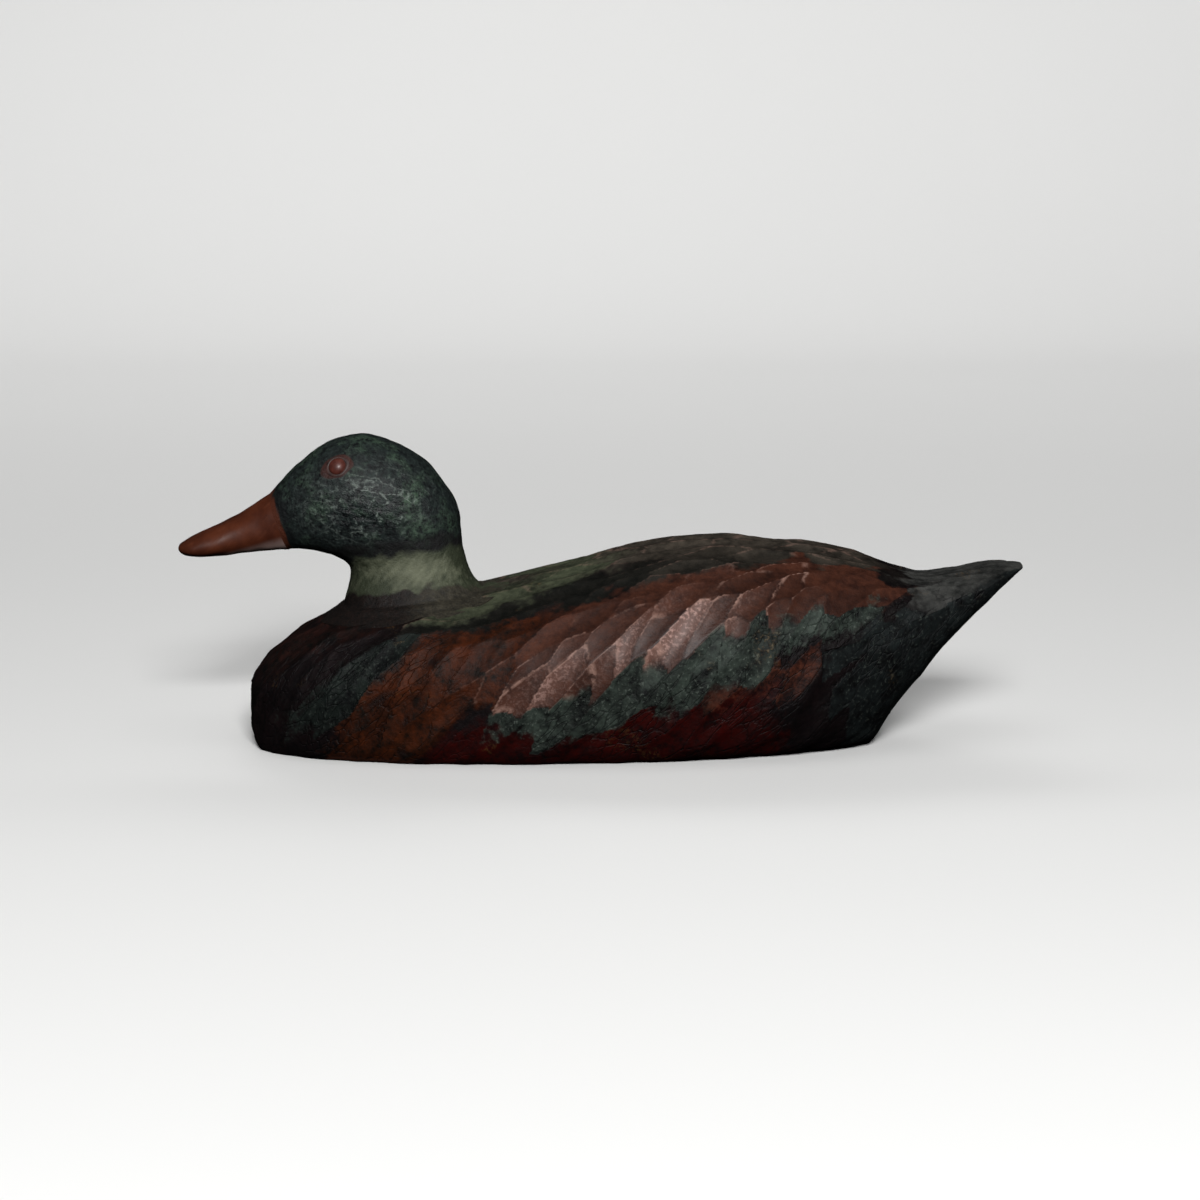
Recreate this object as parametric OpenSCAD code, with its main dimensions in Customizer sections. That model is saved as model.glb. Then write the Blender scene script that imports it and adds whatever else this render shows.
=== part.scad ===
// Hollow wooden duck decoy: a chip-carved body on a flat bottom board, a head and bill
// fixed through the neck seat, let-in ballast and a ring and staple for the anchor line.
// The bill points along -X, the tail along +X, and the board's flat face lies on z = 0.

/* [Carved wood] */
// Length from the tip of the bill to the tip of the tail
overall_length = 406; // [398:1:414]
// Thickness of the side walls round the hollow
side_wall = 19; // [18:0.5:20]
// Thickness of the wood over the hollow
roof = 16; // [15:0.5:17]
// Facets round each half of the body above its widest line
upper_facets = 11; // [8:1:12]
// Facets between the widest line and the board
lower_facets = 5; // [4:1:6]

/* [Bottom board] */
// Thickness of the board that closes the hollow
board_thickness = 16; // [16:0.5:17]
// Diameter of the screws that hold the board
board_screw_d = 4.5; // [4:0.1:4.8]
// Diameter of the wooden plugs over those screws
plug_d = 9; // [8.8:0.1:9.4]

/* [Ballast] */
// Length of the let-in ballast bar
ballast_length = 110; // [90:1:120]
// Width of the ballast bar
ballast_width = 36; // [30:1:40]
// Thickness of the ballast bar
ballast_thickness = 7.5; // [6:0.5:8]

/* [Line tie] */
// Mean radius of the anchor-line ring
ring_radius = 10.5; // [10:0.1:11]
// Radius of the ring's wire
ring_wire = 1.5; // [1.3:0.1:1.6]
// Radius of the staple's wire
staple_wire = 1.25; // [1.1:0.05:1.3]

/* [Head fixing] */
// Diameter of the neck dowel
neck_dowel_d = 12.7; // [12:0.1:13]
// Diameter of the lag screw through the neck seat
lag_d = 6; // [5:0.5:6.5]
// Diameter of the dowel that holds the bill
bill_dowel_d = 8; // [7:0.5:9]

/* [Eyes] */
// Radius of the eye button
eye_r = 4.1; // [3.8:0.1:4.3]
// Outer radius of the carved eye ring
eye_ring_r = 6.6; // [6.2:0.1:6.8]

/* [Hidden] */
$fn = 48;
k = overall_length / 406;   // every length along the carving is drawn for 406 mm
top_power = 2 / 2.2;        // slightly squarer than an ellipse
seam_z = board_thickness;

// Stations of the body, nose to tail: [x, top z, widest z, half width, bottom z, bottom half width]
hull_rows = k * [
    [-169, 28, 24, 5, 19, 3],
    [-167.6, 32.5, 25, 18, 8, 13],
    [-163.5, 38, 26, 30, 1, 25],
    [-155, 45.5, 27, 40, 0, 34],
    [-141, 55.5, 29, 49.5, 0, 41.5],
    [-120, 66, 31.5, 57, 0, 48.5],
    [-90, 71.5, 34, 63, 0, 54],
    [-55, 74.6, 36.5, 66.5, 0, 55.5],
    [-20, 83.2, 38.5, 67.5, 0, 54.5],
    [20, 94.3, 41, 67, 0, 50.5],
    [60, 98.2, 44, 64, 0, 42.5],
    [95, 95.5, 48, 57, 0, 31],
    [117, 91.7, 52, 50, 0, 19.5],
    [130, 88.2, 55.5, 44.5, 0.5, 11],
    [142, 84.2, 60, 39.5, 17.5, 12.5],
    [155, 81.3, 65.5, 34, 36, 14.5],
    [170, 82.8, 71.5, 29.5, 53.5, 15.5],
    [185, 85.8, 78, 24, 68.5, 14],
    [196, 86.8, 82.5, 17, 79, 10],
    [203, 85.8, 85, 6, 84, 4]];

// Sections of the neck and head, seat to face: [throat x, throat z, nape x, nape z, half width]
head_rows = k * [
    [-124.5, 64, -54, 72.5, 30],
    [-122.5, 71, -60.3, 77.5, 26.5],
    [-120.6, 78, -63.8, 84.5, 23.5],
    [-120.3, 84, -66, 93.5, 22],
    [-123.5, 88, -66.8, 103, 22.8],
    [-128.5, 90.5, -68.2, 112.5, 24.5],
    [-133, 91.8, -73, 122, 25.5],
    [-137, 92.6, -83, 134.8, 25.8],
    [-140.5, 93, -97.5, 143.7, 25.2],
    [-143.5, 93.2, -114.5, 148.4, 23.5],
    [-146, 93.2, -131, 144, 20.5],
    [-148, 93, -145.5, 133.3, 16.8],
    [-149.5, 92.8, -158.5, 119.8, 13]];

// Sections of the bill, face to tip, in the same columns
bill_rows = k * [
    [-149.5, 92.8, -158.5, 119.8, 13],
    [-158, 92.3, -166.5, 114.3, 12.2],
    [-167, 91.6, -175, 109.2, 12],
    [-176, 90.7, -183, 105.2, 12.6],
    [-185, 89.7, -190.5, 101.9, 13.4],
    [-193, 89.4, -197, 98.6, 13],
    [-199, 90.3, -200.5, 96.4, 10],
    [-202, 92, -202.3, 95.2, 5.5],
    [-203, 93.5, -203, 93.8, 0.8]];

// Neck seat: the plane of the neck's first section
seat_run = head_rows[0][2] - head_rows[0][0];
seat_rise = head_rows[0][3] - head_rows[0][1];
seat_tilt = atan2(seat_rise, seat_run);
seat_roof = 13;             // wood left under the seat, where the washer bears

// Neck dowel, bill dowel, and the lag screw with its washer
dowel_x = -97 * k;
dowel_below_seat = 22;
dowel_length = 56;
bill_dowel_in_head = 20;
bill_dowel_length = 34;
lag_x = -76 * k;
lag_straight = 44;          // shank up to the point
lag_point = 6;
lag_head_width = 11;
lag_head_height = 4.4;
washer_r = 8.5;
washer_thickness = 1.6;
washer_seat_r = 10;
washer_seat_depth = 12;

// Toe nails through the foot of the neck: [x, y]
nail_places = k * [[-108, 17.5], [-108, -17.5], [-74, 17.5], [-74, -17.5]];
nail_z = 80 * k;
nail_slope = 25;
nail_d = 1.8;
nail_length = 20;

// Hollow, as a span of stations and its own facets
hollow_first = 4.35;
hollow_last = 11.55;
hollow_steps = 14;
hollow_facets = 7;
hollow_past_seam = 3;       // how far the cutter of the hollow runs out below the shell

// Places on the board: [x, y]
board_screw_places = k * [[-152, 0], [-75, 48], [-75, -48], [50, 38], [50, -38], [121, 0]];
seam_dowel_places = k * [[-146, 19], [-146, -19], [113, 15], [113, -15]];
seam_dowel_d = 8;
seam_dowel_length = 20;
seam_dowel_z = 6;           // where the seam dowels start in the board
board_end = 1.5;            // thickness of the board at its two ends
plug_depth = 4;
plug_sunk = 0.2;
board_screw_length = 36;
board_screw_head = plug_d - 0.6;
slot_width = 0.9;
slot_depth = 1;
ballast_x = 5 * k;
ballast_floor = 0.5;        // how far the bar sits up inside the flat face
ballast_corner = 4;
ballast_screw_d = 4;
ballast_screw_length = 14;
ballast_screw_head = 8;
ballast_screw_span = 80;
tie_x = -128 * k;
tie_recess = 8.4;
staple_room = 3;            // space past the ring's mean radius, round the staple
ring_room = 4;              // and round the ring
staple_bend = 3.75;         // centreline radius of the staple's crown
staple_z = 5.8;
staple_leg = 9;
staple_point = 2.5;
staple_tip_r = 0.3;
tie_axis_z = 5.6;

// Eyes: a point on the cheek and the direction that the eye looks in
eye_place = k * [-124.2, 19.8, 135.9];
eye_polar = 59.5;
eye_azimuth = 104.3;
eye_depth = 3;
eye_dome = 72;              // angle from the button's crown to its rim
eye_dome_r = 3.4;
eye_rim_z = -0.4;
eye_wire_r = 0.6;
eye_wire_length = 12;

// A smooth curve through the rows (Catmull-Rom), at s rows from the first
function through(rows, s) =
    let (n = len(rows), i = min(max(floor(s), 0), n - 2), t = s - i,
         a = rows[max(i - 1, 0)], b = rows[i], c = rows[i + 1], d = rows[min(i + 2, n - 1)])
    0.5 * (2 * b + (c - a) * t + (2 * a - 5 * b + 4 * c - d) * t * t + (3 * b - a - 3 * c + d) * t * t * t);

function steps(from, to, n) = [for (i = [0:n]) from + (to - from) * i / n];
function signed_pow(v, p) = sign(v) * pow(abs(v), p);
function mirrored(half) = [for (i = [len(half) - 1:-1:0]) if (half[i][0] > 0.001) [-half[i][0], half[i][1]]];
function placed(x, outline) = [for (p = outline) [x, p[0], p[1]]];

// A station of the body, with the underside kept on or above the flat face
function station(s) = let (r = through(hull_rows, s)) [r[0], r[1], r[2], r[3], max(r[4], 0), r[5]];

// How far round the lower curve a height is met: 0 at the widest line, 90 at the underside
function turn_at(r, z) = r[4] >= z ? 90 : asin((r[2] - z) / (r[2] - r[4]));

function upper_half(r, n) = [for (a = steps(0, 90, n))
    [r[3] * pow(sin(a), top_power), r[2] + (r[1] - r[2]) * pow(cos(a), top_power)]];
function lower_half(r, from, to, n) = [for (a = steps(from, to, n))
    [r[5] + (r[3] - r[5]) * cos(a), r[2] - (r[2] - r[4]) * sin(a)]];

// Rings of the body above the seam, of the board below it, and of the hollow
function body_ring(s) =
    let (r = station(s), lower = lower_half(r, 0, turn_at(r, seam_z), lower_facets),
         half = concat(upper_half(r, upper_facets), [for (i = [1:lower_facets]) lower[i]]))
    placed(r[0], concat(half, mirrored(half)));
function board_ring(s) =
    let (r = station(s), half = lower_half(r, turn_at(r, seam_z), 90, lower_facets))
    placed(r[0], concat(half, mirrored(half)));
function hollow_ring(s) =
    let (r = station(s), inner = [r[0], r[1] - roof, r[2], r[3] - side_wall, r[4], r[5] - side_wall],
         narrow = inner[5] + (inner[3] - inner[5]) * cos(turn_at(inner, seam_z)),
         foot = [[narrow, seam_z], [narrow, seam_z - hollow_past_seam]],
         half = concat(upper_half(inner, hollow_facets), foot))
    placed(r[0], concat(half, mirrored(half)));

// The station where the underside crosses z, found by halving the span between one above z and one below it
function cross_station(z, above, below, n = 24) =
    let (mid = (above + below) / 2)
    n == 0 ? mid
    : through(hull_rows, mid)[4] > z ? cross_station(z, mid, below, n - 1)
    : cross_station(z, above, mid, n - 1);

// A section of the head or bill: a rounded loop across the chord from throat to nape
function rail_ring(rows, s, n) =
    let (r = through(rows, s), mid = [r[0] + r[2], r[1] + r[3]] / 2, half = [r[2] - r[0], r[3] - r[1]] / 2)
    [for (i = [0:n - 1])
        let (a = 360 * i / n, c = signed_pow(cos(a), top_power), w = signed_pow(sin(a), top_power))
        [mid[0] + half[0] * c, -r[4] * w, mid[1] + half[1] * c]];

function seat_z(x) = head_rows[0][1] + (x - head_rows[0][0]) * seat_rise / seat_run;

// A closed skin over rings of points, with a flat cap at each end
module skin(rings) {
    n = len(rings[0]);
    last = (len(rings) - 1) * n;
    points = [for (ring = rings) for (p = ring) p];
    sides = [for (i = [0:len(rings) - 2]) for (j = [0:n - 1])
        let (a = i * n + j, b = i * n + (j + 1) % n) each [[a, b, b + n], [a, b + n, a + n]]];
    first_cap = [for (j = [1:n - 2]) [0, j + 1, j]];
    last_cap = [for (j = [1:n - 2]) [last, last + j, last + j + 1]];
    polyhedron(points = points, faces = concat(sides, first_cap, last_cap), convexity = 8);
}

module on_seat(x) {
    translate([x, 0, seat_z(x)]) rotate([0, -seat_tilt, 0]) children();
}

module at_eye(side) {
    mirror([0, side < 0 ? 1 : 0, 0]) translate(eye_place) rotate([0, eye_polar, eye_azimuth]) children();
}

// A flat-headed wood screw with its head's face on z = 0, pointing down
module wood_screw_body(d, length, head_d) {
    drop = (head_d - d) / 2;
    tip_r = 0.3;
    rotate_extrude() polygon([[0, 0], [head_d / 2, 0], [d / 2, -drop], [d / 2, 2 * d - length],
                              [tip_r, -length], [0, -length]]);
}

module wood_screw(d, length, head_d) {
    difference() {
        wood_screw_body(d, length, head_d);
        cube([head_d + 1, slot_width, 2 * slot_depth], center = true);
    }
}

module board_screw_spots() {
    for (p = board_screw_places) translate([p[0], p[1], plug_depth]) rotate([180, 0, 0]) children();
}

module ballast_screw_spots() {
    for (side = [-1, 1])
        translate([ballast_x + side * ballast_screw_span / 2, 0, ballast_floor])
            rotate([180, 0, 0]) children();
}

module toe_nail_spots() {
    for (p = nail_places)
        translate([p[0], p[1], nail_z]) rotate([-nail_slope * sign(p[1]), 0, 0]) children();
}

module neck_dowel_body() {
    on_seat(dowel_x) translate([0, 0, -dowel_below_seat]) cylinder(d = neck_dowel_d, h = dowel_length);
}

module lag_shank() {
    tip_r = 0.4;
    on_seat(lag_x) translate([0, 0, -seat_roof - washer_thickness]) {
        cylinder(d = lag_d, h = lag_straight);
        translate([0, 0, lag_straight]) cylinder(r1 = lag_d / 2, r2 = tip_r, h = lag_point);
    }
}

module toe_nail_body() {
    translate([0, 0, -nail_length]) cylinder(d = nail_d, h = nail_length);
}

// The bill's dowel, square to the joint between face and bill
module bill_dowel_body() {
    r = bill_rows[0];
    turn = atan2(r[2] - r[0], r[3] - r[1]);
    translate([(r[0] + r[2]) / 2, 0, (r[1] + r[3]) / 2]) rotate([0, turn - 90, 0])
        translate([0, 0, -bill_dowel_in_head]) cylinder(d = bill_dowel_d, h = bill_dowel_length);
}

module seam_dowel_body() {
    for (p = seam_dowel_places)
        translate([p[0], p[1], seam_dowel_z]) cylinder(d = seam_dowel_d, h = seam_dowel_length);
}

module staple_body() {
    translate([tie_x, 0, staple_z]) {
        rotate([90, 0, 0]) rotate([0, 0, 180]) rotate_extrude(angle = 180)
            translate([staple_bend, 0]) circle(r = staple_wire);
        for (side = [-1, 1]) translate([side * staple_bend, 0, 0]) {
            cylinder(r = staple_wire, h = staple_leg - staple_point);
            translate([0, 0, staple_leg - staple_point])
                cylinder(r1 = staple_wire, r2 = staple_tip_r, h = staple_point);
        }
    }
}

module rounded_bar(length, width, height, corner) {
    linear_extrude(height = height) union() {
        square([length - 2 * corner, width], center = true);
        square([length, width - 2 * corner], center = true);
        for (x = [-1, 1]) for (y = [-1, 1])
            translate([x * (length / 2 - corner), y * (width / 2 - corner)]) circle(r = corner);
    }
}

module body_shell() {
    color("sienna") difference() {
        skin([for (s = concat([0, 0.4, 0.8, 1.2], steps(1.6, 19, 42))) body_ring(s)]);
        skin([for (s = steps(hollow_first, hollow_last, hollow_steps)) hollow_ring(s)]);
        skin([for (s = steps(0, 3, 6)) rail_ring(head_rows, s, 32)]);
        neck_dowel_body();
        lag_shank();
        on_seat(lag_x) translate([0, 0, -seat_roof - washer_seat_depth])
            cylinder(r = washer_seat_r, h = washer_seat_depth);
        toe_nail_spots() toe_nail_body();
        seam_dowel_body();
        board_screw_spots() wood_screw_body(board_screw_d, board_screw_length, board_screw_head);
    }
}

module bottom_board() {
    first = cross_station(seam_z - board_end, 0, 2);
    last = cross_station(seam_z - board_end, 15, 12);
    color("saddlebrown") difference() {
        skin([for (s = steps(first, last, 44)) board_ring(s)]);
        seam_dowel_body();
        board_screw_spots() {
            wood_screw_body(board_screw_d, board_screw_length, board_screw_head);
            translate([0, 0, -0.001]) cylinder(d = plug_d, h = plug_depth + 1);
        }
        translate([ballast_x, 0, -1])
            rounded_bar(ballast_length, ballast_width, ballast_floor + ballast_thickness + 1, ballast_corner);
        ballast_screw_spots() wood_screw_body(ballast_screw_d, ballast_screw_length, ballast_screw_head);
        translate([tie_x, 0, -1]) cylinder(r = ring_radius + staple_room, h = tie_recess + 1);
        translate([tie_x + ring_radius, 0, -1]) cylinder(r = ring_radius + ring_room, h = tie_recess + 1);
        staple_body();
    }
}

module head_block() {
    color("darkslategray") difference() {
        skin([for (s = steps(0, 12, 48)) rail_ring(head_rows, s, 32)]);
        neck_dowel_body();
        lag_shank();
        toe_nail_spots() toe_nail_body();
        bill_dowel_body();
        for (side = [-1, 1]) at_eye(side) {
            translate([0, 0, -eye_depth]) cylinder(r = eye_ring_r, h = eye_depth + 4);
            translate([0, 0, -eye_depth - eye_wire_length]) cylinder(r = eye_wire_r, h = eye_wire_length + 1);
        }
    }
}

module bill() {
    color("sienna") difference() {
        skin([for (s = steps(0, 8, 24)) rail_ring(bill_rows, s, 32)]);
        bill_dowel_body();
    }
}

module bill_dowel() {
    color("burlywood") bill_dowel_body();
}

// A turned button: a dome over a short cylinder
module eye_button() {
    dome = [for (a = steps(0, eye_dome, 9))
        [eye_r * sin(a) / sin(eye_dome), eye_dome_r * (cos(a) - cos(eye_dome))]];
    rotate_extrude() polygon(concat(dome, [[eye_r, -eye_depth], [0, -eye_depth]]));
}

// The raised rim that the button sits in
module eye_rim() {
    mid = (eye_r + eye_ring_r) / 2;
    half = (eye_ring_r - eye_r) / 2;
    crown = [for (a = steps(0, 180, 8)) [mid + half * cos(a), eye_rim_z + half * sin(a)]];
    rotate_extrude() polygon(concat([[eye_r, -eye_depth], [eye_ring_r, -eye_depth]], crown));
}

module eye_left() {
    color("maroon") at_eye(-1) eye_button();
}

module eye_right() {
    color("maroon") at_eye(1) eye_button();
}

module eye_ring_left() {
    color("brown") at_eye(-1) eye_rim();
}

module eye_ring_right() {
    color("brown") at_eye(1) eye_rim();
}

module eye_wires() {
    color("gray") for (side = [-1, 1])
        at_eye(side)
            translate([0, 0, -eye_depth - eye_wire_length]) cylinder(r = eye_wire_r, h = eye_wire_length);
}

module neck_dowel() {
    color("burlywood") neck_dowel_body();
}

module neck_lag_screw() {
    color("silver") union() {
        lag_shank();
        on_seat(lag_x) translate([0, 0, -seat_roof - washer_thickness - lag_head_height])
            cylinder(d = lag_head_width, h = lag_head_height, $fn = 6);
    }
}

module neck_washer() {
    color("silver") on_seat(lag_x) translate([0, 0, -seat_roof - washer_thickness]) difference() {
        cylinder(r = washer_r, h = washer_thickness);
        translate([0, 0, -1]) cylinder(d = lag_d, h = washer_thickness + 2);
    }
}

module toe_nails() {
    color("gray") toe_nail_spots() toe_nail_body();
}

module seam_dowels() {
    color("burlywood") seam_dowel_body();
}

module board_screws() {
    color("goldenrod") board_screw_spots() wood_screw(board_screw_d, board_screw_length, board_screw_head);
}

module screw_plugs() {
    color("saddlebrown") for (p = board_screw_places)
        translate([p[0], p[1], plug_sunk]) cylinder(d = plug_d, h = plug_depth - plug_sunk);
}

module ballast_bar() {
    color("dimgray") difference() {
        translate([ballast_x, 0, ballast_floor])
            rounded_bar(ballast_length, ballast_width, ballast_thickness, ballast_corner);
        ballast_screw_spots() wood_screw_body(ballast_screw_d, ballast_screw_length, ballast_screw_head);
    }
}

module ballast_screws() {
    color("goldenrod") ballast_screw_spots()
        wood_screw(ballast_screw_d, ballast_screw_length, ballast_screw_head);
}

module line_tie_staple() {
    color("goldenrod") staple_body();
}

module line_tie_ring() {
    color("goldenrod") translate([tie_x + ring_radius, 0, tie_axis_z])
        rotate_extrude() translate([ring_radius, 0]) circle(r = ring_wire);
}

body_shell();
bottom_board();
head_block();
bill();
bill_dowel();
eye_left();
eye_right();
eye_ring_left();
eye_ring_right();
eye_wires();
neck_dowel();
neck_lag_screw();
neck_washer();
toe_nails();
seam_dowels();
board_screws();
screw_plugs();
ballast_bar();
ballast_screws();
line_tie_staple();
line_tie_ring();
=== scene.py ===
import math
import bmesh
import bpy
import numpy as np
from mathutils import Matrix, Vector


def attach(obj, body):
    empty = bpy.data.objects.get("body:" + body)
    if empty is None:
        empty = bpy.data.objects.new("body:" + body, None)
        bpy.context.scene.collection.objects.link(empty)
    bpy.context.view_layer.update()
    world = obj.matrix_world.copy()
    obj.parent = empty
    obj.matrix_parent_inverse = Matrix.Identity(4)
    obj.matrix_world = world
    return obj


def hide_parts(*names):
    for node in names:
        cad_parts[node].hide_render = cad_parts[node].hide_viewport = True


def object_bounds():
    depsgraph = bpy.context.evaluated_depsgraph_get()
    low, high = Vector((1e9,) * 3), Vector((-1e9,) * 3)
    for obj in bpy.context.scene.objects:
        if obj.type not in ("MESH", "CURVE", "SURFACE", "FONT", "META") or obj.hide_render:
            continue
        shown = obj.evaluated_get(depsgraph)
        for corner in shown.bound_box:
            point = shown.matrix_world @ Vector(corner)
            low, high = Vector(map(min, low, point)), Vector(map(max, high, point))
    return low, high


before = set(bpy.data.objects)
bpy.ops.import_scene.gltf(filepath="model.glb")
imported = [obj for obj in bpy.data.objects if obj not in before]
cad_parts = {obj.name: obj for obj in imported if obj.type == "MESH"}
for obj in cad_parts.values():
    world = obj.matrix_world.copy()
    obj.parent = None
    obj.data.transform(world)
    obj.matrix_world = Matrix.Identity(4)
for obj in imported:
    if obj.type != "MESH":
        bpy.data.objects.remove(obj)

cadLow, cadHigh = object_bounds()
print("frame loaded:", len(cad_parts), "nodes")

# The carving is drawn in millimetres for a decoy 406 long, then scaled to the frame's own length
drawn = {"length": 406, "seam": 16, "squareness": 2 / 2.2, "quickShare": 0.5}
unit = (cadHigh[0] - cadLow[0]) / drawn["length"]
rng = np.random.default_rng(7)
fine = 1.0

# Stations of the body, nose to tail: x, top, widest height, half width, underside, half width there
hullRows = np.array([
    [-169, 28, 24, 5, 19, 3],
    [-167.6, 32.5, 25, 18, 8, 13],
    [-163.5, 38, 26, 30, 1, 25],
    [-155, 45.5, 27, 40, 0, 34],
    [-141, 55.5, 29, 49.5, 0, 41.5],
    [-120, 66, 31.5, 57, 0, 48.5],
    [-90, 71.5, 34, 63, 0, 54],
    [-55, 74.6, 36.5, 66.5, 0, 55.5],
    [-20, 83.2, 38.5, 67.5, 0, 54.5],
    [20, 94.3, 41, 67, 0, 50.5],
    [60, 98.2, 44, 64, 0, 42.5],
    [95, 95.5, 48, 57, 0, 31],
    [117, 91.7, 52, 50, 0, 19.5],
    [130, 88.2, 55.5, 44.5, 0.5, 11],
    [142, 84.2, 60, 39.5, 17.5, 12.5],
    [155, 81.3, 65.5, 34, 36, 14.5],
    [170, 82.8, 71.5, 29.5, 53.5, 15.5],
    [185, 85.8, 78, 24, 68.5, 14],
    [196, 86.8, 82.5, 17, 79, 10],
    [203, 85.8, 85, 6, 84, 4]])

# Sections of the neck and head, seat to face: throat x, throat z, nape x, nape z, half width
headRows = np.array([
    [-124.5, 64, -54, 72.5, 30],
    [-122.5, 71, -60.3, 77.5, 26.5],
    [-120.6, 78, -63.8, 84.5, 23.5],
    [-120.3, 84, -66, 93.5, 22],
    [-123.5, 88, -66.8, 103, 22.8],
    [-128.5, 90.5, -68.2, 112.5, 24.5],
    [-133, 91.8, -73, 122, 25.5],
    [-137, 92.6, -83, 134.8, 25.8],
    [-140.5, 93, -97.5, 143.7, 25.2],
    [-143.5, 93.2, -114.5, 148.4, 23.5],
    [-146, 93.2, -131, 144, 20.5],
    [-148, 93, -145.5, 133.3, 16.8],
    [-149.5, 92.8, -158.5, 119.8, 13]])

# Sections of the bill, face to tip, in the same columns
billRows = np.array([
    [-149.5, 92.8, -158.5, 119.8, 13],
    [-158, 92.3, -166.5, 114.3, 12.2],
    [-167, 91.6, -175, 109.2, 12],
    [-176, 90.7, -183, 105.2, 12.6],
    [-185, 89.7, -190.5, 101.9, 13.4],
    [-193, 89.4, -197, 98.6, 13],
    [-199, 90.3, -200.5, 96.4, 10],
    [-202, 92, -202.3, 95.2, 5.5],
    [-203, 93.5, -203, 93.8, 0.8]])


def through(rows, s):
    # Catmull-Rom: each span is the cubic that leaves one row and meets the next with the slope of their
    # neighbours
    i = np.clip(np.floor(s).astype(int), 0, len(rows) - 2)
    t = np.reshape(s - i, (-1,) + (1,) * (rows.ndim - 1))
    a, b = rows[np.maximum(i - 1, 0)], rows[i]
    c, d = rows[i + 1], rows[np.minimum(i + 2, len(rows) - 1)]
    return 0.5 * (2 * b + (c - a) * t + (2 * a - 5 * b + 4 * c - d) * t**2 + (3 * b - a - 3 * c + d) * t**3)


def signedPower(value, power):
    return np.sign(value) * np.abs(value) ** power


def smooth(low, high, value):
    # 0 below low, 1 above high, and 3t^2 - 2t^3 between
    t = np.clip((value - low) / (high - low), 0, 1)
    return t * t * (3 - 2 * t)


def unitLength(vectors):
    return vectors / np.maximum(np.linalg.norm(vectors, axis=-1, keepdims=True), 1e-9)


def waves(points, size, seed, count=28, spread=(0.6, 1.6)):
    # Smooth random field: a sum of cosine waves in random directions, their lengths spread round the size
    own = np.random.default_rng(seed)
    heading = unitLength(own.normal(size=(count, 3)))
    heading = heading * (2 * math.pi / size) * own.uniform(*spread, (count, 1))
    phase = own.uniform(0, 2 * math.pi, count)
    total = np.zeros(points.shape[:-1])
    for k in range(count):
        total += np.cos(points @ heading[k] + phase[k])
    return total / math.sqrt(count / 2)


def hullPoints(s, g):
    # One ring per station: |g| runs 0-1 down the upper curve, 1-2 on to the seam, 2-3 to the corner, 3-4
    # under. The upper curve is a superellipse, and the lower one a quarter of an ellipse
    x, top, wide, half, low, lowHalf = through(hullRows, s).T[:, :, None]
    low = np.maximum(low, 0)
    turn = np.where(low >= drawn["seam"], math.pi / 2,
                    np.arcsin(np.clip((wide - drawn["seam"]) / (wide - low), 0, 1)))
    q = np.abs(g)[None, :]
    a = np.clip(q, 0, 1) * math.pi / 2
    b = np.clip(q - 1, 0, 1) * turn + np.clip(q - 2, 0, 1) * (math.pi / 2 - turn)
    power = drawn["squareness"]
    lowerY = (lowHalf + (half - lowHalf) * np.cos(b)) * np.clip(4 - q, 0, 1)
    upperZ = wide + (top - wide) * np.clip(np.cos(a), 0, 1) ** power
    y = np.where(q <= 1, half * np.sin(a) ** power, lowerY)
    z = np.where(q <= 1, upperZ, wide - (wide - low) * np.sin(b))
    return np.stack([np.broadcast_to(x, y.shape), np.sign(g)[None, :] * y, z], -1)


def railPoints(rows, s, count):
    # Rounded loop across the chord from throat to nape: half chord times cosine, half width times sine
    r = through(rows, s)
    turn = 2 * math.pi * np.arange(count) / count
    c = signedPower(np.cos(turn), drawn["squareness"])[None, :, None]
    w = signedPower(np.sin(turn), drawn["squareness"])[None, :]
    low, high = r[:, None, 0:2], r[:, None, 2:4]
    ring = (low + high) / 2 + (high - low) / 2 * c
    return np.stack([ring[..., 0], -r[:, 4:5] * w, ring[..., 1]], -1)


def evenSteps(ringsOf, first, last, count, samples=1500):
    # Stations spaced so that each ring lies the same mean distance from the last
    s = np.linspace(first, last, samples)
    gap = np.linalg.norm(np.diff(ringsOf(s), axis=0), axis=-1).mean(axis=1)
    run = np.concatenate([[0], np.cumsum(gap)])
    return np.interp(np.linspace(0, run[-1], count + 1), run, s)


def railSteps(rows, first, count, around=24):
    return evenSteps(lambda k: railPoints(rows, k, around), first, len(rows) - 1, int(count * fine))


def outwards(points):
    # Normal: the step along the length crossed with the step round the ring, turned to point out of the piece
    along = np.gradient(points, axis=0)
    around = np.roll(points, -1, axis=1) - np.roll(points, 1, axis=1)
    normals = unitLength(np.cross(along, around))
    row = len(points) // 2
    fromMiddle = points[row] - points[row].mean(axis=0)
    return normals * np.sign(np.sum(normals[row] * fromMiddle))


# The gouge: how far a cut strays from its place, how its depth varies, how fast it rises off the surface,
# and how far to either side of its middle lee runs, from 0 to 1
gouge = {"stray": 0.3, "depths": (0.75, 1.25), "offSurface": 0.02, "leeReach": 7}


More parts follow.
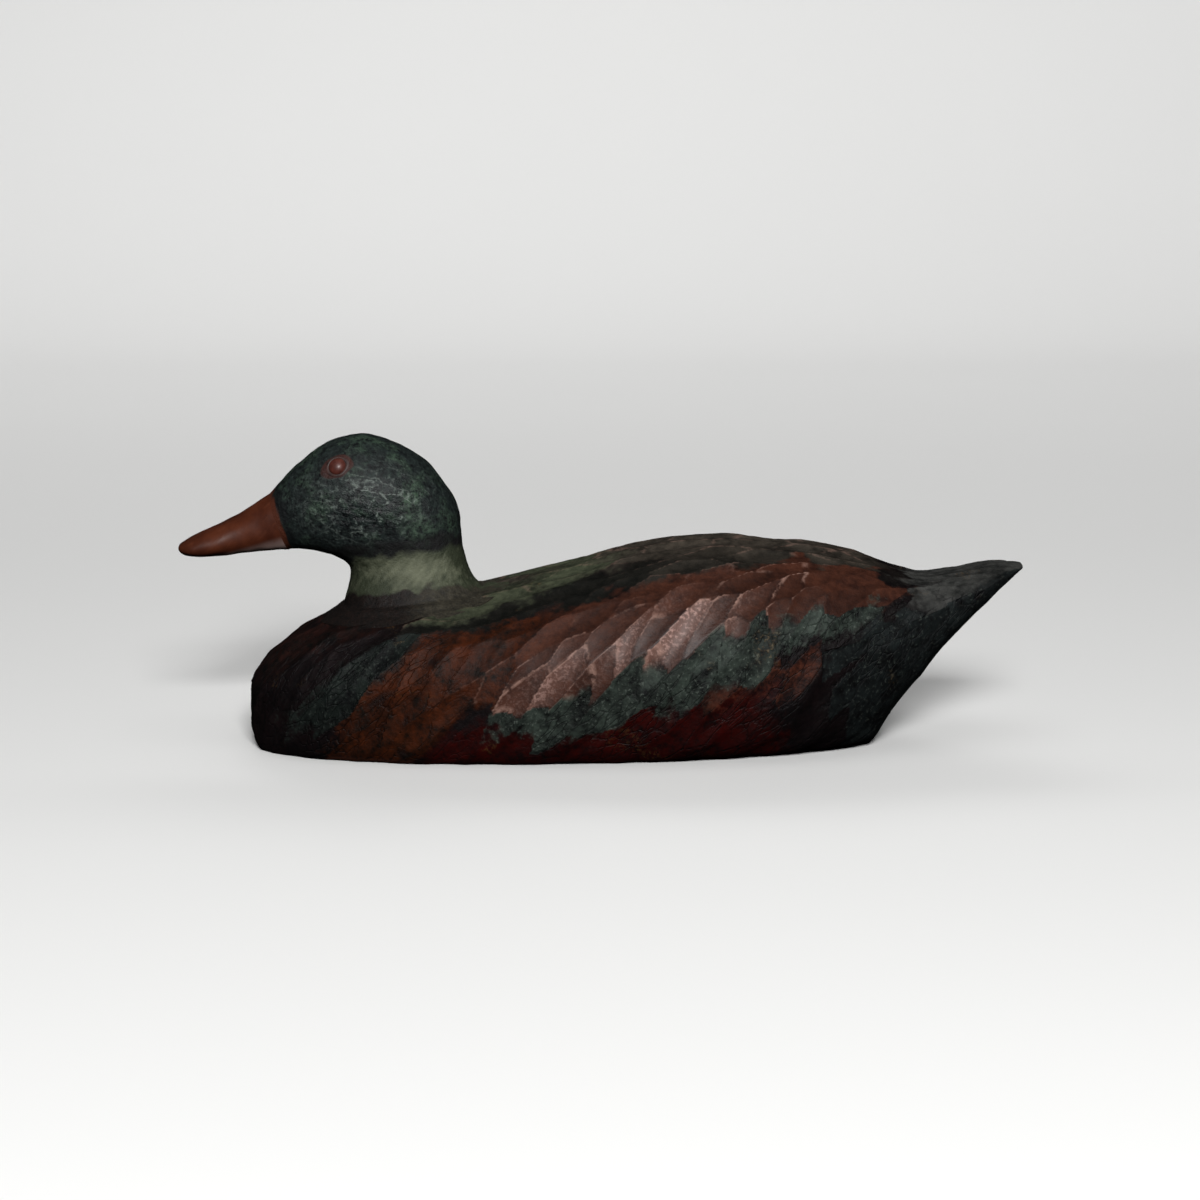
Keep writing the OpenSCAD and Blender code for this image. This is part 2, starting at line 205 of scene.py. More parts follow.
def gougeCuts(points, normals, cuts, heading):
    # Each cut is a hollow that rises with the square of the distance across it, more slowly along it,
    # and leans to one side. The wood keeps the lowest of them all, so ridges stand where two cuts meet.
    # Home is the middle of the cut that a point lies in, and lee is how far across that cut it lies.
    rows, columns = points.shape[:2]
    lowest = np.full((rows, columns), float(cuts["uncut"]))
    second = lowest + 1.0
    tone, lee = np.zeros((rows, columns)), np.zeros((rows, columns))
    home = points.copy()
    alongStep, acrossStep = cuts["stepAlong"] * fine, cuts["stepAround"] * fine
    reach = int(cuts["window"] * fine)
    stray = gouge["stray"]
    for lane in range(int(columns / acrossStep)):
        for place in range(int(rows / alongStep) + 1):
            i = int((place + 0.5 * (lane % 2) + rng.uniform(-stray, stray)) * alongStep)
            j = int((lane + rng.uniform(-stray, stray)) * acrossStep) % columns
            if i < 0 or i >= rows:
                continue
            centre, normal = points[i, j], normals[i, j]
            depth, lean = cuts["depth"] * rng.uniform(*gouge["depths"]), rng.normal(0, cuts["lean"])
            angle, scale = heading(centre, normal)
            angle += rng.normal(0, cuts["sway"])
            run = np.array([math.cos(angle), 0, math.sin(angle)])
            along = unitLength(run - normal * (run @ normal))
            across = np.cross(normal, along)
            nearRows = np.arange(max(i - reach, 0), min(i + reach, rows))
            window = np.ix_(nearRows, np.arange(j - reach, j + reach) % columns)
            offset = points[window] - centre
            u, v = offset @ along, offset @ across
            height = (-depth + lean * v + cuts["sweep"] / scale * v**2 + cuts["length"] / scale * u**2
                      + gouge["offSurface"] * (offset @ normal) ** 2)
            old = lowest[window]
            second[window] = np.minimum(second[window], np.maximum(height, old))
            won = height < old
            tone[window] = np.where(won, rng.uniform(), tone[window])
            lee[window] = np.where(won, v, lee[window])
            home[window] = np.where(won[..., None], centre, home[window])
            lowest[window] = np.minimum(height, old)
    ridge = 1 - smooth(0, cuts["ridge"], second - lowest)
    lee = smooth(-gouge["leeReach"], gouge["leeReach"], lee)
    return lowest, home, {"ridge": ridge, "tone": tone, "lee": lee}


def ringFaces(rows, columns, first=0, closed=False):
    # Quads between neighbouring rings, wound to face outwards. Closed joins the last ring to the first
    i, j = np.meshgrid(np.arange(rows if closed else rows - 1), np.arange(columns), indexing="ij")
    nextI, nextJ = (i + 1) % rows, (j + 1) % columns
    quads = np.stack([i * columns + j, nextI * columns + j, nextI * columns + nextJ, i * columns + nextJ], -1)
    return quads + first


def shrinking(ring, shares, push=(0, 0, 0)):
    # Copies of an end ring drawn in towards its middle, the last one a point, each moved by its share of push
    middle = ring.mean(axis=0)
    return np.stack([middle + (ring - middle) * share + np.asarray(push) * (1 - share) for share in shares])


# Points nearer than weld become one, and edges shorter than sliver go, both in metres. Edges bent more than
# sharp stay crisp
meshing = {"weld": 2e-6, "sliver": 1e-6, "sharp": math.radians(50)}


def makePiece(name, points, faces, material, marks=None):
    # points in drawing millimetres; marks are values per point that the paint reads
    mesh = bpy.data.meshes.new(name)
    mesh.from_pydata((points.reshape(-1, 3) * unit).tolist(), [], faces.reshape(-1, faces.shape[-1]).tolist())
    for key, values in (marks or {}).items():
        layer = mesh.attributes.new(key, "FLOAT", "POINT")
        layer.data.foreach_set("value", np.ascontiguousarray(values, dtype=np.float32).ravel())
    work = bmesh.new()
    work.from_mesh(mesh)
    bmesh.ops.remove_doubles(work, verts=work.verts, dist=meshing["weld"])
    bmesh.ops.dissolve_degenerate(work, edges=work.edges, dist=meshing["sliver"])
    loose = [v for v in work.verts if not v.link_faces]
    bmesh.ops.delete(work, geom=loose, context="VERTS")
    rims = [e for e in work.edges if e.is_boundary]
    if rims:
        bmesh.ops.triangle_fill(work, edges=rims, use_beauty=True)
    bmesh.ops.recalc_face_normals(work, faces=work.faces)
    openEdges = sum(1 for e in work.edges if not e.is_manifold)
    work.to_mesh(mesh)
    work.free()
    mesh.materials.append(material)
    mesh.shade_smooth()
    mesh.set_sharp_from_angle(angle=meshing["sharp"])
    piece = bpy.data.objects.new(name, mesh)
    bpy.context.scene.collection.objects.link(piece)
    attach(piece, "decoy")
    print("made", name, len(mesh.polygons), "faces, open edges", openEdges)
    return piece


def setInputs(tree, node, inputs):
    # A socket is linked to the input of that name or number, and a plain value is set on it
    for key, value in inputs.items():
        if isinstance(value, bpy.types.NodeSocket):
            tree.links.new(value, node.inputs[key])
        else:
            node.inputs[key].default_value = value


def addNode(tree, kind, inputs=None, **settings):
    node = tree.nodes.new("ShaderNode" + kind)
    for key, value in settings.items():
        setattr(node, key, value)
    setInputs(tree, node, inputs or {})
    return node


def math2(tree, operation, a, b, clamp=False):
    return addNode(tree, "Math", {0: a, 1: b}, operation=operation, use_clamp=clamp).outputs[0]


def times(tree, first, *others):
    for value in others:
        first = math2(tree, "MULTIPLY", first, value)
    return first


def weighted(tree, *parts, start=0.0, clamp=False):
    # The start plus each part's value times its weight. Clamp holds the end of it between 0 and 1
    total = start
    for k, (value, weight) in enumerate(parts, 1):
        total = math2(tree, "ADD", total, times(tree, value, weight), clamp and k == len(parts))
    return total


def contrast(tree, value, low, gain):
    # The value less low, times the gain, held between 0 and 1
    return math2(tree, "MULTIPLY", math2(tree, "SUBTRACT", value, low), gain, True)


def mixColour(tree, factor, a, b, blend="MIX"):
    node = addNode(tree, "Mix", data_type="RGBA", blend_type=blend, clamp_factor=True)
    first, second = (c if isinstance(c, bpy.types.NodeSocket) else (*c, 1) for c in (a, b))
    setInputs(tree, node, {0: factor, 6: first, 7: second})  # inputs 6 and 7 are the two colours
    return node.outputs[2]


def noise(tree, vector, scale, detail=3, rough=0.55):
    node = addNode(tree, "TexNoise", {"Vector": vector, "Scale": scale, "Detail": detail, "Roughness": rough})
    return node.outputs["Fac"]


def mark(tree, name):
    return addNode(tree, "Attribute", attribute_name=name).outputs["Fac"]


def objectPlace(tree, turn=(0, 0, 0), stretch=(1, 1, 1)):
    # The pattern is made longer by stretch along its own axes, which are turned first
    place = addNode(tree, "TexCoord").outputs["Object"]
    if turn == (0, 0, 0) and stretch == (1, 1, 1):
        return place
    return addNode(tree, "Mapping", {"Vector": place, "Rotation": turn, "Scale": stretch},
                   vector_type="TEXTURE").outputs[0]


def newGroup(name, inputs, outputs):
    group = bpy.data.node_groups.new(name, "ShaderNodeTree")
    for label, kind, value in inputs:
        socket = group.interface.new_socket(label, in_out="INPUT", socket_type=kind)
        if value is not None:
            socket.default_value = value
    for label, kind in outputs:
        group.interface.new_socket(label, in_out="OUTPUT", socket_type=kind)
    return group, group.nodes.new("NodeGroupInput"), group.nodes.new("NodeGroupOutput")


def dryBrushGroup():
    # Cover is the mask pushed up and down by the grain, then made steeper, so that an edge of paint breaks up
    inputs = [("Mask", "NodeSocketFloat", 0), ("Grain", "NodeSocketFloat", 0.5),
              ("Break", "NodeSocketFloat", 1.2), ("Steep", "NodeSocketFloat", 3)]
    group, given, result = newGroup("dryBrush", inputs, [("Cover", "NodeSocketFloat")])
    mask, grain, broken, steep = (given.outputs[name] for name in ("Mask", "Grain", "Break", "Steep"))
    swing = times(group, math2(group, "SUBTRACT", grain, 0.5), broken)
    pushed = math2(group, "SUBTRACT", math2(group, "ADD", mask, swing), 0.5)
    cover = math2(group, "ADD", times(group, pushed, steep), 0.5, True)
    present = math2(group, "MULTIPLY", mask, 12, True)
    group.links.new(times(group, cover, present), result.inputs["Cover"])
    return group


def crackGroup():
    # Thin dark lines: where the distance to the border between two cells is nearly nothing, broken by noise
    inputs = [("Vector", "NodeSocketVector", None), ("Scale", "NodeSocketFloat", 90),
              ("Width", "NodeSocketFloat", 0.05)]
    group, given, result = newGroup("crackle", inputs, [("Crack", "NodeSocketFloat")])
    vector = given.outputs["Vector"]
    wobble = addNode(group, "TexNoise", {"Vector": vector, "Scale": 160.0, "Detail": 3.0})
    sway = (0.006, 0.006, 0.006)
    bent = addNode(group, "VectorMath", {0: wobble.outputs["Color"], 1: sway}, operation="MULTIPLY")
    place = addNode(group, "VectorMath", {0: vector, 1: bent.outputs[0]}, operation="ADD")
    cells = addNode(group, "TexVoronoi", {"Vector": place.outputs[0], "Scale": given.outputs["Scale"]},
                    feature="DISTANCE_TO_EDGE")
    near = math2(group, "DIVIDE", cells.outputs["Distance"], given.outputs["Width"], True)
    some = contrast(group, noise(group, vector, 70.0, 2), 0.42, 9)
    line = times(group, math2(group, "SUBTRACT", 1.0, near), some)
    group.links.new(line, result.inputs["Crack"])
    return group


def streakGroup():
    # Brush and gouge streaks: noise stretched along one heading
    inputs = [("Vector", "NodeSocketVector", None), ("Scale", "NodeSocketFloat", 300)]
    group, given, result = newGroup("streaks", inputs, [("Streak", "NodeSocketFloat")])
    turned = addNode(group, "Mapping", {"Vector": given.outputs["Vector"], "Rotation": (0, -0.83, 0),
                                        "Scale": (6, 1, 1)}, vector_type="TEXTURE")
    lines = addNode(group, "TexNoise",
                    {"Vector": turned.outputs[0], "Scale": given.outputs["Scale"], "Detail": 4.0})
    group.links.new(lines.outputs["Fac"], result.inputs["Streak"])
    return group


groups = {"dryBrush": dryBrushGroup(), "crackle": crackGroup(), "streaks": streakGroup()}


def useGroup(tree, name, inputs):
    node = tree.nodes.new("ShaderNodeGroup")
    node.node_tree = groups[name]
    setInputs(tree, node, inputs)
    return node.outputs[0]


def brushed(tree, name, grain, broken, steep):
    # How much of the paint whose mark has this name is left, its edge broken up by the grain
    inputs = {"Mask": mark(tree, name), "Grain": grain, "Break": broken, "Steep": steep}
    return useGroup(tree, "dryBrush", inputs)


def overlay(tree, below, cover, paint, most=1.0):
    # Paint laid over the colour below, as much as the cover says and at most the given share
    return mixColour(tree, times(tree, cover, most), below, paint)


def newMaterial(name, **fixed):
    material = bpy.data.materials.new(name)
    material.use_nodes = True
    tree = material.node_tree
    shader = tree.nodes["Principled BSDF"]
    for key, value in fixed.items():
        shader.inputs[key].default_value = value
    return material, tree, shader


def finishBump(tree, shader, height, distance, strength=1.0):
    bump = addNode(tree, "Bump", {"Height": height, "Distance": distance, "Strength": strength})
    tree.links.new(bump.outputs[0], shader.inputs["Normal"])


def tint(red, green, blue):
    # A colour as mixed for the eye, 0 to 255, turned into light values
    value = np.array([red, green, blue]) / 255
    return tuple(np.where(value <= 0.04045, value / 12.92, ((value + 0.055) / 1.055) ** 2.4))


bodyPaint = {
    "ground": (tint(8, 5, 6), tint(20, 12, 13)),
    # each layer: mark, two tones, how much its edge breaks up, how steep the edge is
    "layers": [
        ("redLow", tint(48, 4, 2), tint(16, 3, 3), 1.2, 1.7),
        ("redStreak", tint(74, 38, 26), tint(18, 9, 8), 1.9, 2.2),
        ("chest", tint(25, 31, 28), tint(4, 5, 6), 2.1, 2.2),
        ("shoulder", tint(33, 16, 13), tint(8, 8, 7), 1.4, 1.8),
        ("olive", tint(60, 54, 47), tint(30, 27, 23), 1.1, 1.5),
        ("darkBand", tint(24, 23, 20), tint(10, 11, 9), 1.0, 1.8),
        ("wing", tint(66, 36, 25), tint(40, 20, 14), 0.8, 2.4),
        ("wingFront", tint(62, 26, 8), tint(17, 8, 4), 1.6, 2.1),
        ("teal", tint(52, 60, 54), tint(7, 9, 9), 2.3, 2.2),
        ("streak", tint(66, 70, 54), tint(36, 40, 30), 1.4, 1.5),
        ("tail", tint(60, 60, 58), tint(26, 27, 26), 1.5, 1.5),
        ("rear", tint(26, 31, 31), tint(6, 6, 7), 1.8, 2.2)],
    "ochre": tint(112, 84, 46),
    # pale ridge edges: wear, and a painted glint where the light falls
    "wornEdgeAndGlint": tint(150, 118, 106),
    # colour of the painted highlight on the wing's cuts
    "paintedHighlight": tint(172, 138, 128),
    "speck": tint(104, 112, 104),
    "dark": tint(6, 6, 7),
    # each noise: scale, detail, roughness
    "fine": (620.0, 4, 0.65), "mid": (250.0, 5, 0.68), "broad": (75.0, 4, 0.6), "streakScale": 330.0,
    # each level: where an effect begins in its noise or mark, and how steeply it rises from there
    "levels": {"tone": (0.39, 4.8), "ridge": (0.58, 2.4), "speck": (0.57, 11), "ochrePatch": (0.64, 9),
               "ochreGrain": (0.5, 6), "highlightCuts": (0.38, 3.2), "highlightSpecks": (0.50, 9),
               "wearGlintGrain": (0.38, 6), "highSide": (0.5, 5), "lowSide": (0.45, -5), "stepGrain": (0.36, 5)},
    # the most that each effect covers
    "most": {"speck": 0.4, "ochre": 0.4, "wornEdgeAndGlint": 0.85, "shade": 0.45, "crackle": 0.5, "paintedStepShade": 0.85},
    "crackle": {"heading": -0.83, "stretch": 3, "scale": 260.0, "width": 0.08},
    "varnish": {"specular": 0.13, "coatRough": 0.26, "rough": 0.42, "grain": 0.34, "sheen": 0.16,
                "coat": 0.10},
    "bump": {"distance": 0.0005, "strength": 0.9}}


def makeBodyPaint():
    levels, most, varnish = bodyPaint["levels"], bodyPaint["most"], bodyPaint["varnish"]
    material, tree, shader = newMaterial("carvedBodyPaint", **{"Specular IOR Level": varnish["specular"],
                                                               "Coat Roughness": varnish["coatRough"]})
    place = objectPlace(tree)
    sizes = ("fine", "mid", "broad")
    fineGrain, midGrain, broadGrain = (noise(tree, place, *bodyPaint[size]) for size in sizes)
    streaks = useGroup(tree, "streaks", {"Vector": place, "Scale": bodyPaint["streakScale"]})
    tone, lee, sheen, edgeLight = (mark(tree, name) for name in ("tone", "lee", "sheen", "edgeLight"))
    grain = weighted(tree, (midGrain, 0.55), (fineGrain, 0.2), (streaks, 0.25))
    toneShare = contrast(tree, weighted(tree, (broadGrain, 0.5), (midGrain, 0.5)), *levels["tone"])
    colour = mixColour(tree, toneShare, *bodyPaint["ground"])
    for name, light, dark, broken, steep in bodyPaint["layers"]:
        paint = mixColour(tree, toneShare, dark, light)
        colour = mixColour(tree, brushed(tree, name, grain, broken, steep), colour, paint)
    # Each cut has its own tone, and painted shading makes it lighter on its lee side
    cutToneAndShade = weighted(tree, (tone, 0.42), (lee, 0.26), start=0.66)
    cutToneAndShadeColour = addNode(tree, "CombineXYZ", {0: cutToneAndShade, 1: cutToneAndShade, 2: cutToneAndShade}).outputs[0]
    colour = mixColour(tree, 1.0, colour, cutToneAndShadeColour, "MULTIPLY")
    speck = times(tree, contrast(tree, fineGrain, *levels["speck"]), mark(tree, "speckled"))
    colour = overlay(tree, colour, speck, bodyPaint["speck"], most["speck"])
    ochre = times(tree, contrast(tree, noise(tree, place, 46.0, 2), *levels["ochrePatch"]),
                  contrast(tree, fineGrain, *levels["ochreGrain"]))
    colour = overlay(tree, colour, ochre, bodyPaint["ochre"], most["ochre"])
    # Painted highlight: a pale sheen painted over some of the cuts of the wing, where the light's reflection
    # falls, strongest at one side of each and full of specks
    paintedHighlight = times(tree, sheen, weighted(tree, (lee, 0.9), start=0.10),
                  weighted(tree, (contrast(tree, tone, *levels["highlightCuts"]), 0.8), start=0.2),
                  weighted(tree, (contrast(tree, fineGrain, *levels["highlightSpecks"]), 0.65), start=0.30))
    colour = mixColour(tree, paintedHighlight, colour, bodyPaint["paintedHighlight"])
    # Ridges between cuts: worn pale with a painted glint on the high side, painted shade on the low side
    ridge = contrast(tree, mark(tree, "ridge"), *levels["ridge"])
    highSide, lowSide = contrast(tree, lee, *levels["highSide"]), contrast(tree, lee, *levels["lowSide"])
    wearAndGlint = times(tree, ridge, contrast(tree, midGrain, *levels["wearGlintGrain"]), edgeLight, highSide)
    colour = overlay(tree, colour, wearAndGlint, bodyPaint["wornEdgeAndGlint"], most["wornEdgeAndGlint"])
    colour = overlay(tree, colour, times(tree, ridge, lowSide, edgeLight), bodyPaint["dark"], most["shade"])
    cracks = bodyPaint["crackle"]
    crackPlace = objectPlace(tree, (0, cracks["heading"], 0), (cracks["stretch"], 1, 1))
    crack = useGroup(tree, "crackle",
                     {"Vector": crackPlace, "Scale": cracks["scale"], "Width": cracks["width"]})
    # Painted shade: dark lines along the low side of the ridges, laid in with the cracks and, like them,
    # deepening the bump
    paintedStepShade = times(tree, ridge, contrast(tree, midGrain, *levels["stepGrain"]), lowSide, most["paintedStepShade"])
    crack = math2(tree, "MAXIMUM", times(tree, crack, most["crackle"]), paintedStepShade)
    crack = times(tree, crack, mark(tree, "crackArea"))
    colour = mixColour(tree, crack, colour, bodyPaint["dark"])
    rough = weighted(tree, (fineGrain, varnish["grain"]), (sheen, -varnish["sheen"]),
                     start=varnish["rough"], clamp=True)
    tree.links.new(colour, shader.inputs["Base Color"])
    tree.links.new(rough, shader.inputs["Roughness"])
    tree.links.new(times(tree, sheen, fineGrain, varnish["coat"]), shader.inputs["Coat Weight"])
    height = weighted(tree, (fineGrain, 0.7), (streaks, 0.5), (crack, -1.3))
    finishBump(tree, shader, height, **bodyPaint["bump"])
    return material


headPaint = {
    "ground": (tint(8, 10, 12), tint(38, 47, 45)),
    "green": tint(64, 84, 66),
    # colour of the painted glints on the cheek
    "paintedGlint": tint(158, 168, 160),
    "sage": (tint(50, 55, 41), tint(116, 119, 98)),
    "lore": tint(12, 14, 16),
    "foot": (tint(13, 11, 10), tint(28, 19, 16)),
    "nape": (tint(34, 32, 27), tint(60, 56, 46)),
    "bill": tint(74, 36, 22),
    "eyeRed": (tint(64, 37, 32), tint(38, 24, 22)),
    "plum": tint(22, 20, 21),
    "fine": (700.0, 4, 0.65), "mid": (300.0, 5, 0.72), "broad": (60.0, 3, 0.6), "streakScale": 380.0,
    "levels": {"tone": (0.40, 4.6), "patch": (0.50, 7), "patchGrain": (0.42, 6), "fleck": (0.54, 9),
               "glintGrain": (0.44, 8)},
    # how much the edge of each paint breaks up, and how steep it is
    "edges": {"collar": (1.2, 2.0), "lore": (0.8, 2.4), "sage": (0.9, 1.5), "foot": (1.1, 2.4),
              "eyeTint": (0.7, 3.0)},
    "most": {"green": 0.65, "greenPatch": 0.8, "glintLines": 0.8, "plum": 0.75, "lore": 0.8},
    # pattern of the painted glint lines on the cheek
    "glintCrazing": {"heading": 0.15, "stretch": 2.6, "scale": 230.0, "width": 0.09},
    "wrinkle": {"heading": 0.15, "stretch": 2.2, "noise": (260.0, 3, 0.5)},
    "varnish": {"specular": 0.24, "coatRough": 0.3, "rough": 0.44, "grain": 0.32, "cheek": 0.30,
                "coat": 0.04},
    "bump": {"distance": 0.0009, "strength": 0.95}}


def makeHeadPaint():
    levels, most, edges, varnish = (headPaint[key] for key in ("levels", "most", "edges", "varnish"))
    material, tree, shader = newMaterial("carvedHeadPaint", **{"Specular IOR Level": varnish["specular"],
                                                               "Coat Roughness": varnish["coatRough"]})
    place = objectPlace(tree)
    sizes = ("fine", "mid", "broad")
    fineGrain, midGrain, broadGrain = (noise(tree, place, *headPaint[size]) for size in sizes)
    streaks = useGroup(tree, "streaks", {"Vector": place, "Scale": headPaint["streakScale"]})
    cheek = mark(tree, "cheek")
    grain = weighted(tree, (midGrain, 0.6), (fineGrain, 0.4))
    toneShare = contrast(tree, grain, *levels["tone"])
    colour = mixColour(tree, toneShare, *headPaint["ground"])
    green = times(tree, contrast(tree, broadGrain, *levels["patch"]),
                  contrast(tree, grain, *levels["patchGrain"]))
    colour = overlay(tree, colour, green, headPaint["green"], most["green"])
    fleck = contrast(tree, grain, *levels["fleck"])
    patchFleck = times(tree, fleck, mark(tree, "greenPatch"))
    colour = overlay(tree, colour, patchFleck, headPaint["green"], most["greenPatch"])
    # Painted glints on the cheek: thin pale lines laid in a crazed pattern, and a few light ridges
    glintCrazing = headPaint["glintCrazing"]
    longPlace = objectPlace(tree, (0, glintCrazing["heading"], 0), (glintCrazing["stretch"], 1, 1))
    glintLines = useGroup(tree, "crackle",
                      {"Vector": longPlace, "Scale": glintCrazing["scale"], "Width": glintCrazing["width"]})
    glintLines = math2(tree, "MAXIMUM", glintLines, times(tree, mark(tree, "ridge"), fleck))
    glintLines = times(tree, glintLines, cheek, contrast(tree, grain, *levels["glintGrain"]))
    colour = overlay(tree, colour, glintLines, headPaint["paintedGlint"], most["glintLines"])
    for name, paint in (("collar", "plum"), ("lore", "lore")):
        cover = brushed(tree, name, grain, *edges[name])
        colour = overlay(tree, colour, cover, headPaint[paint], most[paint])
    swings = [math2(tree, "SUBTRACT", pattern, 0.5) for pattern in (streaks, broadGrain)]
    # The sage is lighter in the middle of the neck's side: painted light
    sageTone = weighted(tree, (swings[0], 1.0), (swings[1], 1.5), (mark(tree, "neckSideLight"), 0.75), clamp=True)
    sage = mixColour(tree, sageTone, *headPaint["sage"])
    colour = mixColour(tree, brushed(tree, "sage", grain, *edges["sage"]), colour, sage)
    foot = mixColour(tree, mark(tree, "nape"), mixColour(tree, toneShare, *headPaint["foot"]),
                     mixColour(tree, toneShare, *headPaint["nape"]))
    colour = mixColour(tree, brushed(tree, "foot", grain, *edges["foot"]), colour, foot)
    colour = mixColour(tree, mark(tree, "billEdge"), colour, headPaint["bill"])
    eyeRed = mixColour(tree, toneShare, *headPaint["eyeRed"])
    colour = mixColour(tree, brushed(tree, "eyeTint", grain, *edges["eyeTint"]), colour, eyeRed)
    rough = weighted(tree, (fineGrain, varnish["grain"]), (cheek, -varnish["cheek"]),
                     start=varnish["rough"], clamp=True)
    tree.links.new(colour, shader.inputs["Base Color"])
    tree.links.new(rough, shader.inputs["Roughness"])
    tree.links.new(times(tree, cheek, varnish["coat"]), shader.inputs["Coat Weight"])
    wrinkle = headPaint["wrinkle"]
    wrinklePlace = objectPlace(tree, (0, wrinkle["heading"], 0), (wrinkle["stretch"], 1, 1))
    wrinkles = times(tree, noise(tree, wrinklePlace, *wrinkle["noise"]), cheek)
    height = weighted(tree, (midGrain, 0.8), (fineGrain, 0.5), (wrinkles, 2.4))
    finishBump(tree, shader, height, **headPaint["bump"])
    return material


billPaint = {
    "dark": tint(60, 27, 16), "light": tint(80, 39, 23),
    # pale underside colour: a painted reflection of the floor on the bill
    "under": tint(150, 128, 122), "rub": tint(92, 51, 35),
    "broad": (85.0, 4, 0.6), "small": (800.0, 3, 0.6), "streakScale": 420.0,
    "levels": {"tone": (0.35, 3.2), "rub": (0.58, 8)}, "mostRub": 0.35,
    "varnish": {"specular": 0.18, "coatRough": 0.3, "rough": 0.36, "grain": 0.2, "coat": 0.06},
    "bump": {"distance": 0.0002, "strength": 0.8}}


def makeBillPaint():
    levels, varnish = billPaint["levels"], billPaint["varnish"]
    material, tree, shader = newMaterial("billPaint", **{"Specular IOR Level": varnish["specular"],
                                                         "Coat Roughness": varnish["coatRough"]})
    place = objectPlace(tree)
    broad, small = noise(tree, place, *billPaint["broad"]), noise(tree, place, *billPaint["small"])
    streaks = useGroup(tree, "streaks", {"Vector": place, "Scale": billPaint["streakScale"]})
    colour = mixColour(tree, contrast(tree, broad, *levels["tone"]), billPaint["dark"], billPaint["light"])
    colour = mixColour(tree, mark(tree, "under"), colour, billPaint["under"])
    rub = contrast(tree, streaks, *levels["rub"])
    colour = overlay(tree, colour, rub, billPaint["rub"], billPaint["mostRub"])
    rough = weighted(tree, (small, varnish["grain"]), start=varnish["rough"])
    tree.links.new(colour, shader.inputs["Base Color"])
    tree.links.new(rough, shader.inputs["Roughness"])
    tree.links.new(times(tree, broad, varnish["coat"]), shader.inputs["Coat Weight"])
    finishBump(tree, shader, weighted(tree, (small, 0.35), (streaks, 0.5)), **billPaint["bump"])
    return material


def makePlainFinish(name, light, dark, rough, metal, scale, stretch=(1, 1, 1), bump=0.0001, **fixed):
    # Bare hardware and wood: two tones mixed by a stretched noise, which also moves the roughness
    material, tree, shader = newMaterial(name, Metallic=metal, **fixed)
    pattern = noise(tree, objectPlace(tree, (0, 0, 0), stretch), scale, 4, 0.6)
    tone = mixColour(tree, contrast(tree, pattern, 0.35, 3.3), dark, light)
    tree.links.new(tone, shader.inputs["Base Color"])
    tree.links.new(weighted(tree, (pattern, 0.2), start=rough), shader.inputs["Roughness"])
    finishBump(tree, shader, pattern, bump, 0.6)
    return material


materials = {
    "body": makeBodyPaint(),
    "head": makeHeadPaint(),
    "bill": makeBillPaint(),
    "eye": makePlainFinish("eyeGlaze", tint(92, 46, 37), tint(66, 32, 26), 0.38, 0.0, 300.0, bump=0.00003,
                           **{"Specular IOR Level": 0.4, "Coat Weight": 0.15, "Coat Roughness": 0.2}),
    "eyeRing": makePlainFinish("eyeRingPaint", tint(62, 37, 32), tint(40, 25, 22), 0.5, 0.0, 420.0,
                               bump=0.0002),
    "birch": makePlainFinish("birchDowel", tint(214, 180, 132), tint(176, 138, 92), 0.5, 0.0, 420.0,
                             (1, 1, 12)),
    "steel": makePlainFinish("plainSteel", tint(150, 150, 150), tint(104, 104, 106), 0.3, 1.0, 700.0),
    "brass": makePlainFinish("dullBrass", tint(178, 140, 82), tint(118, 88, 48), 0.32, 1.0, 500.0),
    "ballast": makePlainFinish("dullLead", tint(112, 114, 118), tint(92, 94, 98), 0.5, 0.8, 130.0,
                               bump=0.0003),
    "plug": makePlainFinish("plugWood", tint(74, 52, 42), tint(40, 28, 24), 0.5, 0.0, 300.0, (5, 1, 1))}
print("paints mixed:", len(materials))

body = {"stations": 372, "columns": (92, 22, 18, 14), "lift": 0.55, "fadeNeck": 13, "followCuts": 0.5,
        "fadeEnds": 9, "noseRound": 0.6, "capShares": (0.66, 0.33, 0.0)}
bodyCuts = {"depth": 1.25, "sweep": 0.040, "length": 0.0030, "lean": 0.10, "sway": 0.13, "uncut": 0.45,
            "stepAlong": 22, "stepAround": 10.5, "window": 38, "ridge": 0.8}
hollow = {"first": 4.35, "last": 11.55, "rings": 40, "around": 25, "side": 19, "roof": 16}
neck = {"x": -89.25, "halfLength": 35.25, "halfWidth": 30, "power": 2.2,
        "seatLow": 64, "seatRise": 8.5 / 70.5, "front": -124.5}

# The paint follows the side as it is seen from 11 degrees above level: the cosine and the sine of that angle
sideView = {"rise": 0.9816, "out": 0.1908}

